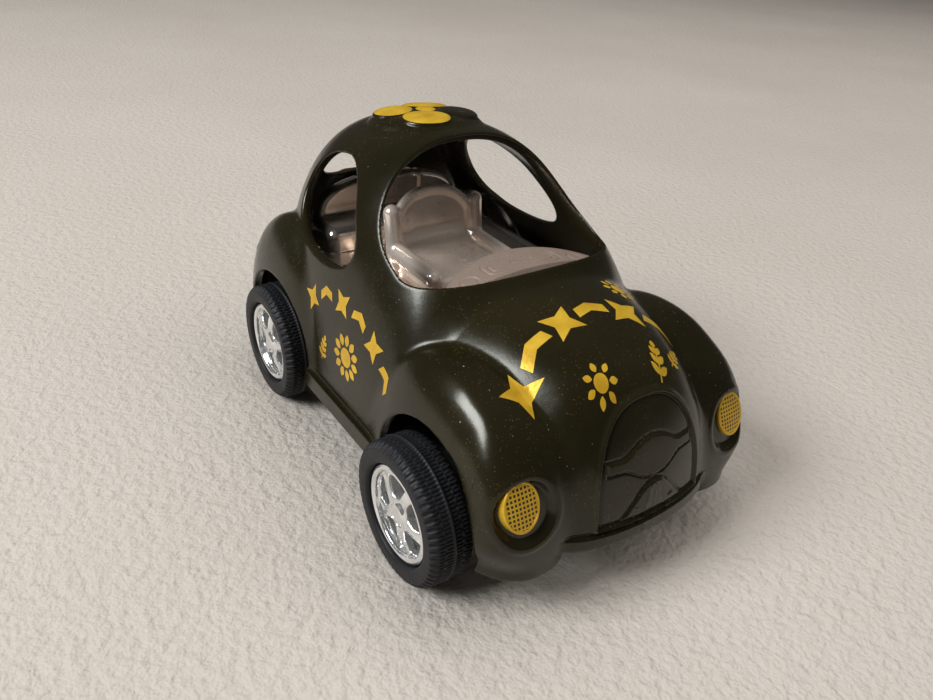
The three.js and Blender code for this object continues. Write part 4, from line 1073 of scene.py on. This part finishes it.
def dress_node(piece, surface):
    piece.data.materials.clear()
    piece.data.materials.append(surface)
    bevel = piece.modifiers.new("edges", "BEVEL")
    bevel.width, bevel.segments, bevel.limit_method = 0.12 * MM, 2, "ANGLE"
    bevel.angle_limit = math.radians(35)


def make_wheels():
    rubber, plating = rubber_material(), chrome_material("rim_plating", (0.95, 0.95, 0.94), (0.1, 0.24), 0.9)
    first_rim = solid_mesh("rim_shape", rim, (-3, -7, -7), (3.2, 7, 7), 0.14)
    first_tyre = ring_mesh("tyre_shape", tyre_points())
    for shape in (first_rim, first_tyre):
        shape.data.transform(Matrix.Translation((0, -AXLE_Y * MM, 0)))
    for end, turn in (("front", 0.22), ("rear", 0.55)):
        for hand in ("left", "right"):
            for kind, shape, surface, slot in (
                ("rim", first_rim, plating, "plated"),
                ("tyre", first_tyre, rubber, "rubber"),
            ):
                name = f"{kind}_{end}_{hand}"
                piece = bpy.data.objects.new("turned_" + name, shape.data)
                bpy.context.collection.objects.link(piece)
                stand_wheel(piece, name, turn if kind == "rim" else 0)
                piece.data.materials.clear()
                piece.data.materials.append(surface)
                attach(piece, end + "_wheels")
                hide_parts(name)
    for shape in (first_rim, first_tyre):
        bpy.data.objects.remove(shape)


def stand_wheel(piece, node_name, turn):
    low, high = (Vector(corner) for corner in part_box(node_name))
    centre = (low + high) / 2
    centre.z = AXLE_Z * MM
    outward = Matrix.Rotation(0 if centre.x > 0 else math.pi, 4, "Z")
    piece.matrix_world = Matrix.Translation(centre) @ outward @ Matrix.Rotation(turn, 4, "X")


# ------------------------------------------------------------------ camera, light and floor

CAMERA_PLACE = (-61.8, -58.3, 75.7)
CAMERA_ANGLES = (58.47, -3.89, -34.57)
CAMERA_LENS = 28.8


def set_camera():
    data = bpy.data.cameras.new("camera")
    data.lens, data.sensor_width = CAMERA_LENS, 36.0
    data.clip_start, data.clip_end = 0.001, 20
    camera = bpy.data.objects.new("camera", data)
    x, y, z = CAMERA_PLACE
    camera.location = (x * MM, (y + AXLE_Y) * MM, z * MM)
    camera.rotation_euler = Euler([math.radians(a) for a in CAMERA_ANGLES])
    bpy.context.collection.objects.link(camera)
    bpy.context.scene.camera = camera


def area_light(name, azimuth, elevation, distance, size, power, colour, glossy=True):
    data = bpy.data.lights.new(name, "AREA")
    data.shape, data.size, data.size_y = "RECTANGLE", size[0], size[1]
    data.energy, data.color = power, colour
    light = bpy.data.objects.new(name, data)
    light.visible_glossy = glossy
    a, e = math.radians(azimuth), math.radians(elevation)
    place = Vector((math.cos(e) * math.cos(a), math.cos(e) * math.sin(a), math.sin(e))) * distance
    light.location = place
    light.rotation_euler = (-place).to_track_quat("-Z", "Y").to_euler()
    bpy.context.collection.objects.link(light)


def set_stage():
    bpy.ops.mesh.primitive_plane_add(size=6, location=(0, 0, 0))
    ground = bpy.context.object
    ground.name = "table_top"
    ground.data.materials.append(floor_material())
    area_light("window", 170, 42, 0.9, (0.42, 0.34), 8.2, (0.93, 0.97, 1.0))
    area_light("sky_fill", 40, 70, 1.0, (0.8, 0.8), 4.6, (0.95, 0.97, 1.0), False)
    area_light("side_fill", -35, 45, 0.9, (0.6, 0.6), 2.2, (1.0, 0.98, 0.95), False)
    world = bpy.data.worlds.new("studio")
    world.use_nodes = True
    bpy.context.scene.world = world
    background = world.node_tree.nodes["Background"]
    background.inputs["Color"].default_value = (0.78, 0.76, 0.74, 1)
    background.inputs["Strength"].default_value = 0.09
    bpy.context.scene.view_settings.view_transform = "Standard"


set_camera()
set_stage()
make_pieces()
